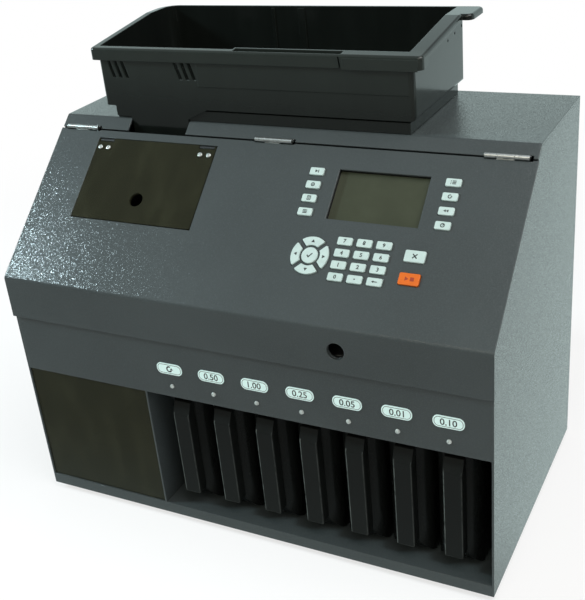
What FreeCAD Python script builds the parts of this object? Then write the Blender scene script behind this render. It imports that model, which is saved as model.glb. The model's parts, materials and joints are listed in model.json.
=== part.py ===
"""Coin sorting machine: a folded-sheet cabinet with a sloping keypad lid, seven bins and a loose tray.

Millimetres. X runs left to right seen from the front, the front faces -Y, +Z is up.
The origin is on the ground, under the middle of the machine.
"""
import FreeCAD, Part
import math
import os
from dataclasses import dataclass

Vector = FreeCAD.Vector

# Cabinet
cabinet_width = 550.0
cabinet_depth = 310.0
foot_clearance = 8.0
sheet = 2.0
base_strip_height = 13.5
seat_gap = 0.3
tolerance = 1e-4

# Front, from the lid's fold down to the bins; the fold is measured from the base strip's lower edge
fold_height = 280.0
fold_radius = 5.5
lip_standoff = 3.0
lip_height = 48.0
skirt_drop = 68.5
skirt_overlap = 36.0
skirt_return = 14.0
lock_hole_radius = 9.0
lock_hole_from_right = 151.8
lock_hole_above_lip_edge = 24.0

# Sloping lid, lengths along the slope
slope_angle = 41.5
lid_length = 191.0
seam_to_top_edge = 17.3
seam_gap = 2.0
top_bend_radius = 4.0
lid_overhang = 1.2
lid_gap = 0.4
lid_flange_depth = 14.0
lid_flange_gap = 1.5
lid_flange_start = 14.0

# Inspection flap in the lid
flap_width = 153.0
flap_length = 98.0
flap_thickness = 3.0
flap_stand = 0.4
flap_from_left = 57.0
flap_from_seam = 11.0
flap_gap = 0.8
flap_corner = 1.6
finger_hole_radius = 8.0
finger_hole_from_edge = 27.0
flap_screw_spacing = 10.6
flap_screw_from_edge = 11.5
flap_screw_radius = 1.5
flap_screw_head_radius = 2.75
flap_screw_head_height = 1.6
flap_screw_head_round = 0.9
flap_screw_length = 4.8
flap_screw_clearance = 0.1
screw_cross_width = 0.7
screw_cross_reach = 1.4
screw_cross_depth = 0.8
rest_tab_width = 16.0
rest_tab_root = 6.0
rest_tab_reach = 5.0
rest_tab_thickness = 1.3
rest_tab_from_edge = 26.5

# Butt hinges of the lid and of the flap
lid_hinge_from_side = 29.0
lid_hinge_length = 42.9
lid_knuckle_radius = 2.5
lid_pin_radius = 1.2
lid_leaf_reach = 13.0
lid_axis_past_seam = 1.0
lid_axis_rise = 1.0
lid_knuckle_ends = (11.2, 28.7)
lid_notch_spare = 2.4
flap_hinge_from_edge = 11.2
flap_hinge_length = 18.0
flap_knuckle_radius = 1.3
flap_pin_radius = 0.65
flap_fixed_leaf_reach = 9.0
flap_moving_leaf_reach = 19.0
flap_axis_rise = -0.9
flap_knuckle_ends = (5.0, 13.0)
knuckle_room = 0.7
knuckle_end_gap = 0.3
pin_clearance = 0.05
leaf_thickness = 1.2
leaf_gap = 0.4
web_overlap = 0.2
web_below_face = 0.3

# Display, set out from the seam and from the right side
panel_centre_from_right = 144.5
display_width = 95.4
display_height = 54.6
display_from_seam = 53.0
display_border = 8.0
display_body_depth = 9.0
display_recess = 3.0

# Keys, set out round the display
small_key_width = 15.5
small_key_height = 8.3
large_key_width = 20.5
large_key_height = 12.0
key_corner = 1.5
key_rise = 1.8
key_edge_round = 0.7
key_clearance = 0.35
key_flange = 1.0
key_flange_thickness = 1.0
key_flange_gap = 0.3
key_stem_radius = 2.4
key_stem_length = 2.0
key_travel = 1.2
key_stop_gap = 0.3
side_key_count = 4
side_key_from_display = 15.75
side_key_gap = 6.7
number_column_gap = 4.7
number_row_gap = 4.2
keypad_from_display = 9.8
arrow_pad_gap = 4.7
arrow_band = 9.1
arrow_gap = 4.5
arrow_corner = 1.2
ok_radius = 8.5
command_key_from_numbers = 14.5
command_key_gap = 11.1
dome_radius = 3.0
dome_height = 1.5
board_thickness = 1.6
board_side_margin = 16.0
board_end_margin = 12.0
board_window_gap = 1.0
board_post_radius = 3.0

# Front plates and lights, set out from the skirt's lower edge
label_width = 31.0
label_height = 13.0
label_thickness = 0.8
label_end_share = 0.45
label_above_skirt_edge = 35.0
lens_above_skirt_edge = 13.5
lens_radius = 2.5
lens_clearance = 0.2
lens_rise = 1.6
lens_round = 1.4
lens_flange_radius = 3.5
lens_flange_thickness = 1.5

# Bins and their bay
bin_count = 7
bin_width = 46.0
bin_gap = 5.15
bin_setback = 18.0
bin_back_gap = 60.0
bin_top_gap = 5.0
bin_wall = 2.0
bin_front_corner = 16.0
bin_back_corner = 6.0
bin_toe_radius = 22.0
bin_right_gap = 17.6
bay_left_gap = 12.5
handle_width = 20.0
handle_depth = 12.0
handle_foot_gap = 18.2
handle_top_gap = 13.5
handle_bevel_height = 14.5
handle_bevel_depth = 6.5
handle_corner = 1.5
handle_bend_radius = 4.0
handle_top_round = 2.0
handle_toe_radius = 2.0
handle_foot_corner = 4.0
handle_root = 6.0

# Side window
window_setback = 1.5
window_thickness = 4.0

# Sorting gear
deck_below_fold = 40.0
deck_thickness = 3.0
deck_front_gap = 12.0
deck_back_gap = 20.0
deck_flange_depth = 20.0
disc_radius = 54.0
disc_thickness = 4.0
disc_gap = 0.5
disc_hub_radius = 14.0
disc_hub_height = 14.0
disc_hub_round = 4.5
disc_from_top_edge = 33.0
disc_rib_count = 6
disc_rib_width = 3.0
disc_rib_height = 2.0
disc_rib_margin = 3.2
ring_gap = 2.0
ring_wall = 2.5
ring_height = 25.0
track_gap = 1.5
rail_width = 6.0
rail_height = 6.0
chute_width = 34.0
chute_depth = 36.0
chute_wall = 1.5
motor_flange = 54.0
motor_flange_corner = 6.75
motor_flange_thickness = 3.0
gearbox_radius = 22.5
gearbox_length = 28.0
motor_radius = 18.5
motor_shelf_gap = 3.0
shaft_radius = 4.0
shaft_clearance = 0.05
shaft_hole_gap = 1.0
shaft_engagement = 9.0

# Control board on the floor of the left compartment
control_gap = 12.0
control_length = 150.0
control_from_front = 60.0
control_post_height = 8.0
control_post_radius = 3.5
control_post_inset = 7.0
control_part_inset = 14.0
transformer_size = 46.0
transformer_height = 38.0
connector_count = 3
connector_length = 24.0
connector_width = 9.0
connector_height = 11.0
connector_gap = 3.5

# Power inlet and rocker on the rear panel
inlet_from_left = 90.0
inlet_centre_height = 70.0
inlet_flange = 3.0
inlet_rim = 3.0
inlet_side_wall = 1.5
inlet_web = 6.0
inlet_depth = 30.0
inlet_corner = 3.0
socket_width = 24.5
socket_height = 17.0
socket_depth = 20.0
socket_pin_width = 4.0
socket_pin_thickness = 2.0
socket_pin_length = 13.0
socket_pin_pitch = 7.0
socket_pin_stagger = 2.0
rocker_width = 13.0
rocker_height = 17.0
rocker_gap = 0.5
rocker_tilt = 8.0
rocker_pivot_depth = 9.0
rocker_pivot_radius = 1.5
rocker_heel_wall = 1.5
rocker_heel_half = 2.8

# Rear vents
vent_count = 12
vent_pitch = 9.0
vent_width = 3.0
vent_length = 60.0
vent_corner = 1.3
vent_from_right = 120.0
vent_below_top = 118.0

# Feet
foot_radius = 14.0
foot_base_radius = 11.0
foot_inset = 45.0

# Coin tray, heights from the top cover
tray_from_left = 57.0
tray_length = 370.0
tray_from_back = 6.0
tray_overhang = 1.0
tray_wall = 3.0
tray_corner = 5.0
tray_back_corner = 16.0
tray_foot_round = 4.0
plinth_height = 13.5
plinth_left = 14.0
plinth_right = 6.0
plinth_front = 2.0
plinth_back = 5.0
plinth_wall = 5.0
plinth_groove_height = 2.0
plinth_groove_depth = 3.5
tray_floor = 3.0
tray_floor_rise = 14.0
rim_height = 79.0
rim_rise = 13.4
rim_level_length = 44.0
rim_bend_radius = 15.0
rim_plate = 2.5
rim_round = 3.0
rim_left = 6.5
rim_right = 11.0
rim_front = 4.5
rim_back = 2.5
rim_skirt = 13.0
rim_side_skirt = 6.0
rim_return = 10.0
rim_ledge = 6.0
rim_corner = 5.0
rim_back_corner = 25.0
rim_band_from_right = 83.0
rim_band = 1.0
front_ledge = 5.0
front_ledge_from_left = 172.0
channel_wall = 2.0
channel_depth = 4.0
slit_width = 1.8
slit_lean = 3.0
ear_reach = 11.0
ear_length = 41.5
ear_corner = 7.0
spout_from_left = 34.0
spout_width = 74.0
spout_depth = 38.0
spout_drop = 19.0
spout_clearance = 0.8
apron_flare = 26.0
apron_thickness = 2.0
apron_gap = 2.0
wall_step = 1.0
wall_step_height = 39.5
wall_step_from_left = 127.0
slot_width = 4.6
slot_length = 18.5
slot_lean = 5.3
slot_pitch = 8.6
slot_count = 3
slot_groups = (11.5, 98.0)
slot_height = 45.5
inner_ribs = ((142.0, 4.0), (176.0, 8.5))
pin_hole_count = 3
pin_hole_radius = 1.5
pin_hole_pitch = 22.0
pin_hole_drop = 22.5

# Values worked out from the sizes above
half_width = cabinet_width / 2
inner_half = half_width - sheet
front = -cabinet_depth / 2
back = cabinet_depth / 2
base = foot_clearance
floor_top = base + base_strip_height

slope = math.radians(slope_angle)
fold_y = front - lip_standoff
fold_z = base + fold_height
seam = lid_length
slope_length = seam + seam_to_top_edge
top = fold_z + slope_length * math.sin(slope)
top_edge_y = fold_y + slope_length * math.cos(slope)
lid_end = seam - seam_gap / 2
band_start = seam + seam_gap / 2
lid_half = half_width + lid_overhang
slope_frame = FreeCAD.Placement(Vector(0, fold_y, fold_z), FreeCAD.Rotation(Vector(1, 0, 0), slope_angle))

lip_bottom = fold_z - lip_height
skirt_bottom = lip_bottom - skirt_drop
shelf_bottom = skirt_bottom + sheet
shelf_top = shelf_bottom + sheet
label_z = skirt_bottom + label_above_skirt_edge
lens_z = skirt_bottom + lens_above_skirt_edge
deck_bottom = fold_z - deck_below_fold
deck_top = deck_bottom + deck_thickness

flap_x = -half_width + flap_from_left + flap_width / 2
flap_top = seam - flap_from_seam
flap_low = flap_top - flap_length
flap_under = flap_stand - flap_thickness
flap_hinge_offset = flap_width / 2 - flap_hinge_from_edge
lid_hinge_offset = half_width - lid_hinge_from_side
lid_hinge_xs = [-lid_hinge_offset, 0.0, lid_hinge_offset]
flap_hinge_xs = [flap_x - flap_hinge_offset, flap_x + flap_hinge_offset]

panel_x = half_width - panel_centre_from_right
display_s = seam - display_from_seam
arrow_names = ("key_up", "key_left", "key_down", "key_right")
number_rows = (("7", "8", "9"), ("4", "5", "6"), ("1", "2", "3"), ("0", "point", "back"))
side_key_offset = display_width / 2 + side_key_from_display + small_key_width / 2
side_key_pitch = small_key_height + side_key_gap
number_column_pitch = small_key_width + number_column_gap
number_row_pitch = small_key_height + number_row_gap
number_block_half = number_column_pitch + small_key_width / 2
number_block_height = (len(number_rows) - 1) * number_row_pitch + small_key_height
keypad_s = display_s - display_height / 2 - display_border - keypad_from_display - number_block_height / 2
arrow_inner_radius = ok_radius + 2 * key_flange + key_flange_gap
arrow_outer_radius = arrow_inner_radius + arrow_band
arrow_pad_x = panel_x - number_block_half - arrow_pad_gap - arrow_outer_radius
command_key_x = panel_x + number_block_half + command_key_from_numbers + large_key_width / 2
command_key_pitch = large_key_height + command_key_gap
key_flange_top = -sheet - lid_gap
key_flange_bottom = key_flange_top - key_flange_thickness
key_stem_bottom = key_flange_bottom - key_stem_length
dome_top = key_stem_bottom - key_travel - key_stop_gap
board_top = dome_top - dome_height

bin_pitch = bin_width + bin_gap
last_bin_x = inner_half - bin_right_gap - bin_width / 2
bin_xs = [last_bin_x - bin_pitch * (bin_count - 1 - index) for index in range(bin_count)]
bay_left = bin_xs[0] - bin_width / 2 - bay_left_gap
bin_front = front + bin_setback
bin_back = back - bin_back_gap
bin_bottom = floor_top + seat_gap
bin_top = skirt_bottom - bin_top_gap

disc_x = flap_x
disc_y = top_edge_y - disc_from_top_edge
track_y = disc_y - motor_flange / 2 - track_gap - chute_depth / 2

inlet_inner_half = socket_width / 2 + inlet_side_wall
inlet_half_width = inlet_inner_half + seat_gap + inlet_rim
well_swing = 2 * rocker_pivot_depth * math.sin(math.radians(rocker_tilt))
well_height = rocker_height * math.cos(math.radians(rocker_tilt)) + well_swing + 2 * rocker_gap
inlet_inner_height = socket_height + well_height + 3 * inlet_web
inlet_half_height = inlet_inner_height / 2 + seat_gap + inlet_rim
inlet_x = -half_width + inlet_from_left
inlet_z = base + inlet_centre_height
inlet_face = back + inlet_flange
socket_z = inlet_z - inlet_inner_height / 2 + inlet_web + socket_height / 2
rocker_z = inlet_z + inlet_inner_height / 2 - inlet_web - well_height / 2
rocker_pivot_y = inlet_face - rocker_pivot_depth
rocker_heel = rocker_pivot_radius + rocker_heel_wall
well_bottom = rocker_pivot_y - math.hypot(rocker_heel, rocker_heel_half) - rocker_gap

tray_x0 = -half_width + tray_from_left
tray_x1 = tray_x0 + tray_length
tray_y0 = top_edge_y - tray_overhang
tray_y1 = back - tray_from_back
tray_bottom = top + seat_gap
shell_bottom = tray_bottom + plinth_height
rim_top = top + rim_height
rim_back_y = tray_y1 + rim_back
rim_bend_y = rim_back_y - rim_level_length
rim_slope = rim_rise / (rim_bend_y - tray_y0)
band_x = tray_x1 + rim_right - rim_band_from_right
ledge_x = tray_x0 + front_ledge_from_left
skirt_y = tray_y0 - rim_front
ledge_y = tray_y0 + tray_wall + front_ledge
step_top = top + wall_step_height
spout_x0 = tray_x0 + spout_from_left
spout_x1 = spout_x0 + spout_width
spout_y1 = tray_y0 + spout_depth


@dataclass(frozen=True)
class Hinge:
    """A butt hinge lying on the slope: its axis, knuckles and pin in slope coordinates."""

    axis_s: float
    axis_n: float
    length: float
    knuckle_radius: float
    pin_radius: float
    knuckle_ends: tuple
    notch_spare: float


lid_hinge = Hinge(
    axis_s=seam + lid_axis_past_seam,
    axis_n=lid_axis_rise,
    length=lid_hinge_length,
    knuckle_radius=lid_knuckle_radius,
    pin_radius=lid_pin_radius,
    knuckle_ends=lid_knuckle_ends,
    notch_spare=lid_notch_spare,
)
flap_hinge = Hinge(
    axis_s=flap_top - flap_knuckle_radius - knuckle_room,
    axis_n=flap_axis_rise,
    length=flap_hinge_length,
    knuckle_radius=flap_knuckle_radius,
    pin_radius=flap_pin_radius,
    knuckle_ends=flap_knuckle_ends,
    notch_spare=0.0,
)


def box(x0, x1, y0, y1, z0, z1):
    """Block between two corners."""
    return Part.makeBox(x1 - x0, y1 - y0, z1 - z0, Vector(x0, y0, z0))


def upright(x, y, z0, z1, radius):
    """Upright cylinder."""
    return Part.makeCylinder(radius, z1 - z0, Vector(x, y, z0), Vector(0, 0, 1))


def along_x(x0, x1, y, z, radius):
    """Cylinder along X."""
    return Part.makeCylinder(radius, x1 - x0, Vector(x0, y, z), Vector(1, 0, 0))


def along_y(x, y0, y1, z, radius):
    """Cylinder along Y."""
    return Part.makeCylinder(radius, y1 - y0, Vector(x, y0, z), Vector(0, 1, 0))


def outline_face(points, to_space):
    """Face inside a polygon of (a, b, radius) corners, each corner rounded by its radius."""
    flat = [Vector(a, b, 0) for a, b, radius in points]
    count = len(points)
    stops = []
    for index in range(count):
        corner = flat[index]
        radius = points[index][2]
        if radius <= 0:
            stops.append((corner, None, corner))
            continue
        before = (flat[index - 1] - corner).normalize()
        after = (flat[(index + 1) % count] - corner).normalize()
        half = before.getAngle(after) / 2
        reach = radius / math.tan(half)
        middle = (before + after).normalize() * (radius / math.sin(half) - radius)
        stops.append((corner + before * reach, corner + middle, corner + after * reach))
    edges = []
    for index in range(count):
        start, middle, end = stops[index]
        if middle is not None:
            edges.append(Part.Arc(to_space(start), to_space(middle), to_space(end)).toShape())
        following = stops[(index + 1) % count][0]
        if (following - end).Length > tolerance:
            edges.append(Part.LineSegment(to_space(end), to_space(following)).toShape())
    return Part.Face(Part.Wire(edges))


def plan_prism(points, z0, z1):
    """Polygon of (x, y, radius) raised from z0 to z1."""
    face = outline_face(points, lambda p: Vector(p.x, p.y, z0))
    return face.extrude(Vector(0, 0, z1 - z0))


def side_prism(points, x0, x1):
    """Polygon of (y, z, radius) drawn out from x0 to x1."""
    face = outline_face(points, lambda p: Vector(x0, p.x, p.y))
    return face.extrude(Vector(x1 - x0, 0, 0))


def front_prism(points, y0, y1):
    """Polygon of (x, z, radius) drawn out from y0 to y1."""
    face = outline_face(points, lambda p: Vector(p.x, y0, p.y))
    return face.extrude(Vector(0, y1 - y0, 0))


def rectangle(x0, x1, y0, y1, radius):
    """Corner list of a rectangle whose four corners share one radius."""
    return [(x0, y0, radius), (x1, y0, radius), (x1, y1, radius), (x0, y1, radius)]


def merged(shapes):
    """One solid from shapes that overlap or share faces."""
    return shapes[0].fuse(shapes[1:]).removeSplitter()


def round_top(shape, radius):
    """Shape with the edges of its highest face rounded."""
    level = shape.BoundBox.ZMax
    edges = [edge for edge in shape.Edges if edge.BoundBox.ZMin > level - tolerance]
    return shape.makeFillet(radius, edges)


def on_slope(shape):
    """Shape drawn flat, with x, distance up the slope and height off it, laid on the slope."""
    placed = shape.copy()
    placed.Placement = slope_frame.multiply(placed.Placement)
    return placed


def slope_point(s, n):
    """World (y, z) of a point s up the slope from the fold and n off its outer face."""
    y = fold_y + s * math.cos(slope) - n * math.sin(slope)
    z = fold_z + s * math.sin(slope) + n * math.cos(slope)
    return y, z


def base_pan():
    """Floor plate with its four edges turned down."""
    pan = box(-inner_half, inner_half, front, back - sheet, base, floor_top)
    wide = inner_half - sheet
    hollow = box(-wide, wide, front + sheet, back - 2 * sheet, base, floor_top - sheet)
    return pan.cut(hollow)


def side_panel(side):
    """Flat side with the slope cut just under the lid."""
    depth = -sheet - lid_gap
    rise = (front - fold_y + depth * math.sin(slope)) / math.cos(slope)
    front_z = slope_point(rise, depth)[1]
    cover = top - sheet
    reach = (cover - fold_z - depth * math.cos(slope)) / math.sin(slope)
    top_y = slope_point(reach, depth)[0]
    outline = [
        (front, base, 0),
        (back, base, 0),
        (back, cover, 0),
        (top_y, cover, 0),
        (front, front_z, 0),
    ]
    x0, x1 = sorted((side * half_width, side * inner_half))
    return side_prism(outline, x0, x1)


def rear_panel():
    """Back sheet with the inlet's cut-out and a field of vent slots."""
    panel = box(-inner_half, inner_half, back - sheet, back, base, top - sheet)
    wide = inlet_half_width - inlet_rim
    tall = inlet_half_height - inlet_rim
    cuts = [box(inlet_x - wide, inlet_x + wide, back - sheet, back, inlet_z - tall, inlet_z + tall)]
    centre = half_width - vent_from_right
    low = top - vent_below_top - vent_length / 2
    for index in range(vent_count):
        x = centre + (index - (vent_count - 1) / 2) * vent_pitch
        slot = rectangle(x - vent_width / 2, x + vent_width / 2, low, low + vent_length, vent_corner)
        cuts.append(front_prism(slot, back - sheet, back))
    return panel.cut(cuts)


def top_cover():
    """Top plate with a band folded down the slope, notched for the tray's spout."""
    band_y, band_z = slope_point(band_start, 0)
    under_y, under_z = slope_point(band_start, -sheet)
    inner_reach = (top - sheet - fold_z + sheet * math.cos(slope)) / math.sin(slope)
    inner_y = slope_point(inner_reach, -sheet)[0]
    outline = [
        (band_y, band_z, 0),
        (top_edge_y, top, top_bend_radius),
        (back, top, 0),
        (back, top - sheet, 0),
        (inner_y, top - sheet, top_bend_radius - sheet),
        (under_y, under_z, 0),
    ]
    cover = side_prism(outline, -half_width, half_width)
    notch = box(
        spout_x0 - spout_clearance,
        spout_x1 + spout_clearance,
        fold_y,
        spout_y1 + spout_clearance,
        fold_z,
        top + sheet,
    )
    cuts = [notch]
    for x in lid_hinge_xs:
        cuts.append(on_slope(hinge_notch(lid_hinge, x)))
    return cover.cut(cuts)


def front_skirt():
    """Upright front sheet above the bins, with its lower edge turned in."""
    skirt_top = lip_bottom + skirt_overlap
    sheet_part = box(-inner_half, inner_half, front, front + sheet, skirt_bottom, skirt_top)
    turned = box(-inner_half, inner_half, front, front + skirt_return, skirt_bottom, skirt_bottom + sheet)
    skirt = merged([sheet_part, turned])
    cuts = [lock_hole(front, front + sheet)]
    for x in bin_xs:
        cuts.append(along_y(x, front, front + sheet, lens_z, lens_radius + lens_clearance))
    return skirt.cut(cuts)


def lock_hole(y0, y1):
    """Cutter for the round hole that a cam lock would take."""
    x = half_width - lock_hole_from_right
    return along_y(x, y0, y1, lip_bottom + lock_hole_above_lip_edge, lock_hole_radius)


def side_window():
    """Smoked pane at the lower left, standing between the side panel and the bay divider."""
    return box(
        -inner_half + seat_gap,
        bay_left - sheet - seat_gap,
        front + window_setback,
        front + window_setback + window_thickness,
        floor_top + seat_gap,
        skirt_bottom - seat_gap,
    )


def bay_divider():
    """Left wall of the bin bay and the ceiling over the bins, with seven drop openings."""
    wall = box(bay_left - sheet, bay_left, front, back - sheet, floor_top, shelf_top)
    shelf = box(bay_left - sheet, inner_half, front + sheet, back - sheet, shelf_bottom, shelf_top)
    return_room = front + skirt_return + seat_gap
    cuts = [
        box(-inner_half, inner_half, front, return_room, skirt_bottom, shelf_bottom),
        box(-inner_half, inner_half, front, front + sheet, skirt_bottom, shelf_top),
    ]
    for x in bin_xs:
        cuts.append(chute_bore(x, shelf_bottom, shelf_top))
    return merged([wall, shelf]).cut(cuts)


def chute_bore(x, z0, z1):
    """Passage that coins fall through, inside one chute."""
    wide = chute_width / 2 - chute_wall
    deep = chute_depth / 2 - chute_wall
    return box(x - wide, x + wide, track_y - deep, track_y + deep, z0, z1)


def hinge_notch(hinge, x):
    """Cutter that clears a hinge's knuckles from the sheets beside its axis."""
    half = hinge.length / 2 + 2 * knuckle_end_gap
    reach = hinge.knuckle_radius + knuckle_room
    x1 = x + half + hinge.notch_spare
    return box(x - half, x1, hinge.axis_s - reach, hinge.axis_s + reach, -2 * sheet, 2 * sheet)


def hinge_half(hinge, x, side, outer, leaf_top, reach):
    """One leaf with its outer or inner knuckles; side is +1 for the leaf up the slope."""
    start = x - hinge.length / 2
    first = start + hinge.knuckle_ends[0]
    second = start + hinge.knuckle_ends[1]
    gap = knuckle_end_gap / 2
    spans = [(first + gap, second - gap)]
    if outer:
        spans = [(start, first - gap), (second + gap, start + hinge.length)]
    leaf_bottom = leaf_top - leaf_thickness
    near = hinge.knuckle_radius + leaf_gap
    far = near + web_overlap
    web = hinge.knuckle_radius / 2
    web_top = min(hinge.axis_n, -web_below_face)
    near_s, reach_s = sorted((hinge.axis_s + side * near, hinge.axis_s + side * reach))
    solids = [box(start, start + hinge.length, near_s, reach_s, leaf_bottom, leaf_top)]
    for x0, x1 in spans:
        solids.append(along_x(x0, x1, hinge.axis_s, hinge.axis_n, hinge.knuckle_radius))
        web_near, web_far = sorted((hinge.axis_s + side * web, hinge.axis_s + side * far))
        solids.append(box(x0, x1, web_near, web_far, leaf_bottom, web_top))
    bore_radius = hinge.pin_radius + pin_clearance
    bore = along_x(start, start + hinge.length, hinge.axis_s, hinge.axis_n, bore_radius)
    return on_slope(merged(solids).cut(bore))


def hinge_pin(hinge, x):
    """Pin through all the knuckles of one hinge."""
    half = hinge.length / 2
    return on_slope(along_x(x - half, x + half, hinge.axis_s, hinge.axis_n, hinge.pin_radius))


def cabinet_hinge_halves():
    """Three leaves under the top cover's band, and the three pins."""
    leaves = [hinge_half(lid_hinge, x, 1, True, -sheet, lid_leaf_reach) for x in lid_hinge_xs]
    pins = [hinge_pin(lid_hinge, x) for x in lid_hinge_xs]
    return Part.makeCompound(leaves + pins)


def lid_hinge_halves():
    """Three leaves under the lid, and the flap hinges' fixed leaves with their pins."""
    leaves = [hinge_half(lid_hinge, x, -1, False, -sheet, lid_leaf_reach) for x in lid_hinge_xs]
    small = [hinge_half(flap_hinge, x, 1, True, -sheet, flap_fixed_leaf_reach) for x in flap_hinge_xs]
    pins = [hinge_pin(flap_hinge, x) for x in flap_hinge_xs]
    return Part.makeCompound(leaves + small + pins)


def flap_hinges():
    """Two moving leaves behind the flap, and the four screws that hold it to them."""
    leaves = []
    screws = []
    for x in flap_hinge_xs:
        leaf = hinge_half(flap_hinge, x, -1, False, flap_under, flap_moving_leaf_reach)
        holes = [on_slope(cutter) for cutter in flap_screw_holes(x)]
        leaves.append(leaf.cut(holes))
        for screw_x in flap_screw_xs(x):
            screws.append(flap_screw(screw_x))
    return Part.makeCompound(leaves + screws)


def flap_screw_xs(x):
    """Places of the two screws of the flap hinge at x."""
    return [x - flap_screw_spacing / 2, x + flap_screw_spacing / 2]


def flap_screw_holes(x):
    """Cutters for the two screw holes of the flap hinge at x."""
    s = flap_top - flap_screw_from_edge
    radius = flap_screw_radius + flap_screw_clearance
    low = flap_under - 2 * leaf_thickness
    return [upright(hole_x, s, low, flap_stand, radius) for hole_x in flap_screw_xs(x)]


def flap_screw(x):
    """Cross-slotted pan-head screw through the flap and its leaf."""
    s = flap_top - flap_screw_from_edge
    high = flap_stand + flap_screw_head_height
    head = round_top(upright(x, s, flap_stand, high, flap_screw_head_radius), flap_screw_head_round)
    half = screw_cross_width / 2
    low = high - screw_cross_depth
    slots = [
        box(x - screw_cross_reach, x + screw_cross_reach, s - half, s + half, low, high),
        box(x - half, x + half, s - screw_cross_reach, s + screw_cross_reach, low, high),
    ]
    head = head.cut(slots)
    shank = upright(x, s, flap_stand - flap_screw_length, flap_stand, flap_screw_radius)
    return on_slope(merged([head, shank]))


def lid_panel():
    """Sloping lid with its folded lip, stiffening flanges, openings and the flap's rest tabs."""
    end_y, end_z = slope_point(lid_end, 0)
    under_y, under_z = slope_point(lid_end, -sheet)
    inner_s = sheet * (1 - math.sin(slope)) / math.cos(slope)
    inner_y, inner_z = slope_point(inner_s, -sheet)
    outline = [
        (fold_y, lip_bottom, 0),
        (fold_y, fold_z, fold_radius),
        (end_y, end_z, 0),
        (under_y, under_z, 0),
        (inner_y, inner_z, fold_radius - sheet),
        (fold_y + sheet, lip_bottom, 0),
    ]
    solids = [side_prism(outline, -lid_half, lid_half)]
    for side in (-1, 1):
        edge = inner_half - lid_flange_gap
        x0, x1 = sorted((side * edge, side * (edge - sheet)))
        flange_end = lid_end - lid_knuckle_radius - knuckle_room
        flange = box(x0, x1, lid_flange_start, flange_end, -lid_flange_depth, -sheet)
        solids.append(on_slope(flange))
        solids.append(on_slope(rest_tab(flap_x + side * (flap_width / 2 - rest_tab_from_edge))))
    window = display_block(0, -sheet, sheet)
    cuts = [lock_hole(fold_y, fold_y + sheet), on_slope(flap_opening()), on_slope(window)]
    for x in lid_hinge_xs:
        cuts.append(on_slope(hinge_notch(lid_hinge, x)))
    for outline_of in key_outlines().values():
        cuts.append(on_slope(raised(outline_of(key_clearance), -2 * sheet, sheet)))
    return merged(solids).cut(cuts)


def rest_tab(x):
    """Stepped tab under the flap's lower edge that stops it level with the lid."""
    s0 = flap_low - rest_tab_root
    low = flap_under - seat_gap - rest_tab_thickness
    x0 = x - rest_tab_width / 2
    x1 = x + rest_tab_width / 2
    tab = box(x0, x1, s0, flap_low + rest_tab_reach, low, low + rest_tab_thickness)
    step = box(x0, x1, s0, flap_low - flap_gap, low, -sheet)
    return merged([tab, step])


def flap_opening():
    """Cutter for the opening that the flap lies in."""
    half = flap_width / 2 + flap_gap
    return box(flap_x - half, flap_x + half, flap_low - flap_gap, flap_top + flap_gap, -sheet, sheet)


def flap_window():
    """Smoked flap with its finger hole, screw holes and the notches for its hinges."""
    half = flap_width / 2
    outline = rectangle(flap_x - half, flap_x + half, flap_low, flap_top, flap_corner)
    pane = plan_prism(outline, flap_under, flap_stand)
    hole_s = flap_low + finger_hole_from_edge
    cuts = [upright(flap_x, hole_s, flap_under, flap_stand, finger_hole_radius)]
    for x in flap_hinge_xs:
        cuts.extend(flap_screw_holes(x))
        cuts.append(hinge_notch(flap_hinge, x))
    return on_slope(pane.cut(cuts))


def display_block(grow, n0, n1):
    """Block round the display's middle, its window grown on four sides, between two heights."""
    wide = display_width / 2 + grow
    tall = display_height / 2 + grow
    return box(panel_x - wide, panel_x + wide, display_s - tall, display_s + tall, n0, n1)


def display_module():
    """Display behind the lid, its screen sunk in the frame."""
    frame = display_block(display_border, -sheet - display_body_depth, -sheet)
    return on_slope(frame.cut(display_block(0, -sheet - display_recess, -sheet)))


def raised(face, n0, n1):
    """Flat outline lifted to n0 and drawn out to n1."""
    lifted = face.copy()
    lifted.translate(Vector(0, 0, n0))
    return lifted.extrude(Vector(0, 0, n1 - n0))


def block_outline(x, s, width, height):
    """Outline of a rounded rectangular key, as a function of how far it is grown."""

    def outline(grow):
        wide = width / 2 + grow
        tall = height / 2 + grow
        corners = rectangle(x - wide, x + wide, s - tall, s + tall, key_corner + grow)
        return outline_face(corners, lambda p: Vector(p.x, p.y, 0))

    return outline


def round_outline(x, s, radius):
    """Outline of a round key, as a function of how far it is grown."""

    def outline(grow):
        edge = Part.makeCircle(radius + grow, Vector(x, s, 0), Vector(0, 0, 1))
        return Part.Face(Part.Wire([edge]))

    return outline


def arrow_outline(x, s, quarter):
    """Outline of one quarter of the arrow ring, as a function of how far it is grown."""

    def outline(grow):
        inner = arrow_inner_radius - grow
        outer = arrow_outer_radius + grow
        shift = (arrow_gap - 2 * grow) / math.sqrt(2)
        inner_x = (math.sqrt(2 * inner * inner - shift * shift) - shift) / 2
        outer_x = (math.sqrt(2 * outer * outer - shift * shift) - shift) / 2
        points = [
            (-inner_x, inner_x + shift),
            (0.0, inner),
            (inner_x, inner_x + shift),
            (outer_x, outer_x + shift),
            (0.0, outer),
            (-outer_x, outer_x + shift),
        ]
        for _ in range(quarter):
            points = [(-b, a) for a, b in points]
        places = [Vector(x + a, s + b, 0) for a, b in points]
        edges = [
            Part.Arc(places[0], places[1], places[2]).toShape(),
            Part.LineSegment(places[2], places[3]).toShape(),
            Part.Arc(places[3], places[4], places[5]).toShape(),
            Part.LineSegment(places[5], places[0]).toShape(),
        ]
        return Part.Face(Part.Wire(edges))

    return outline


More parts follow.
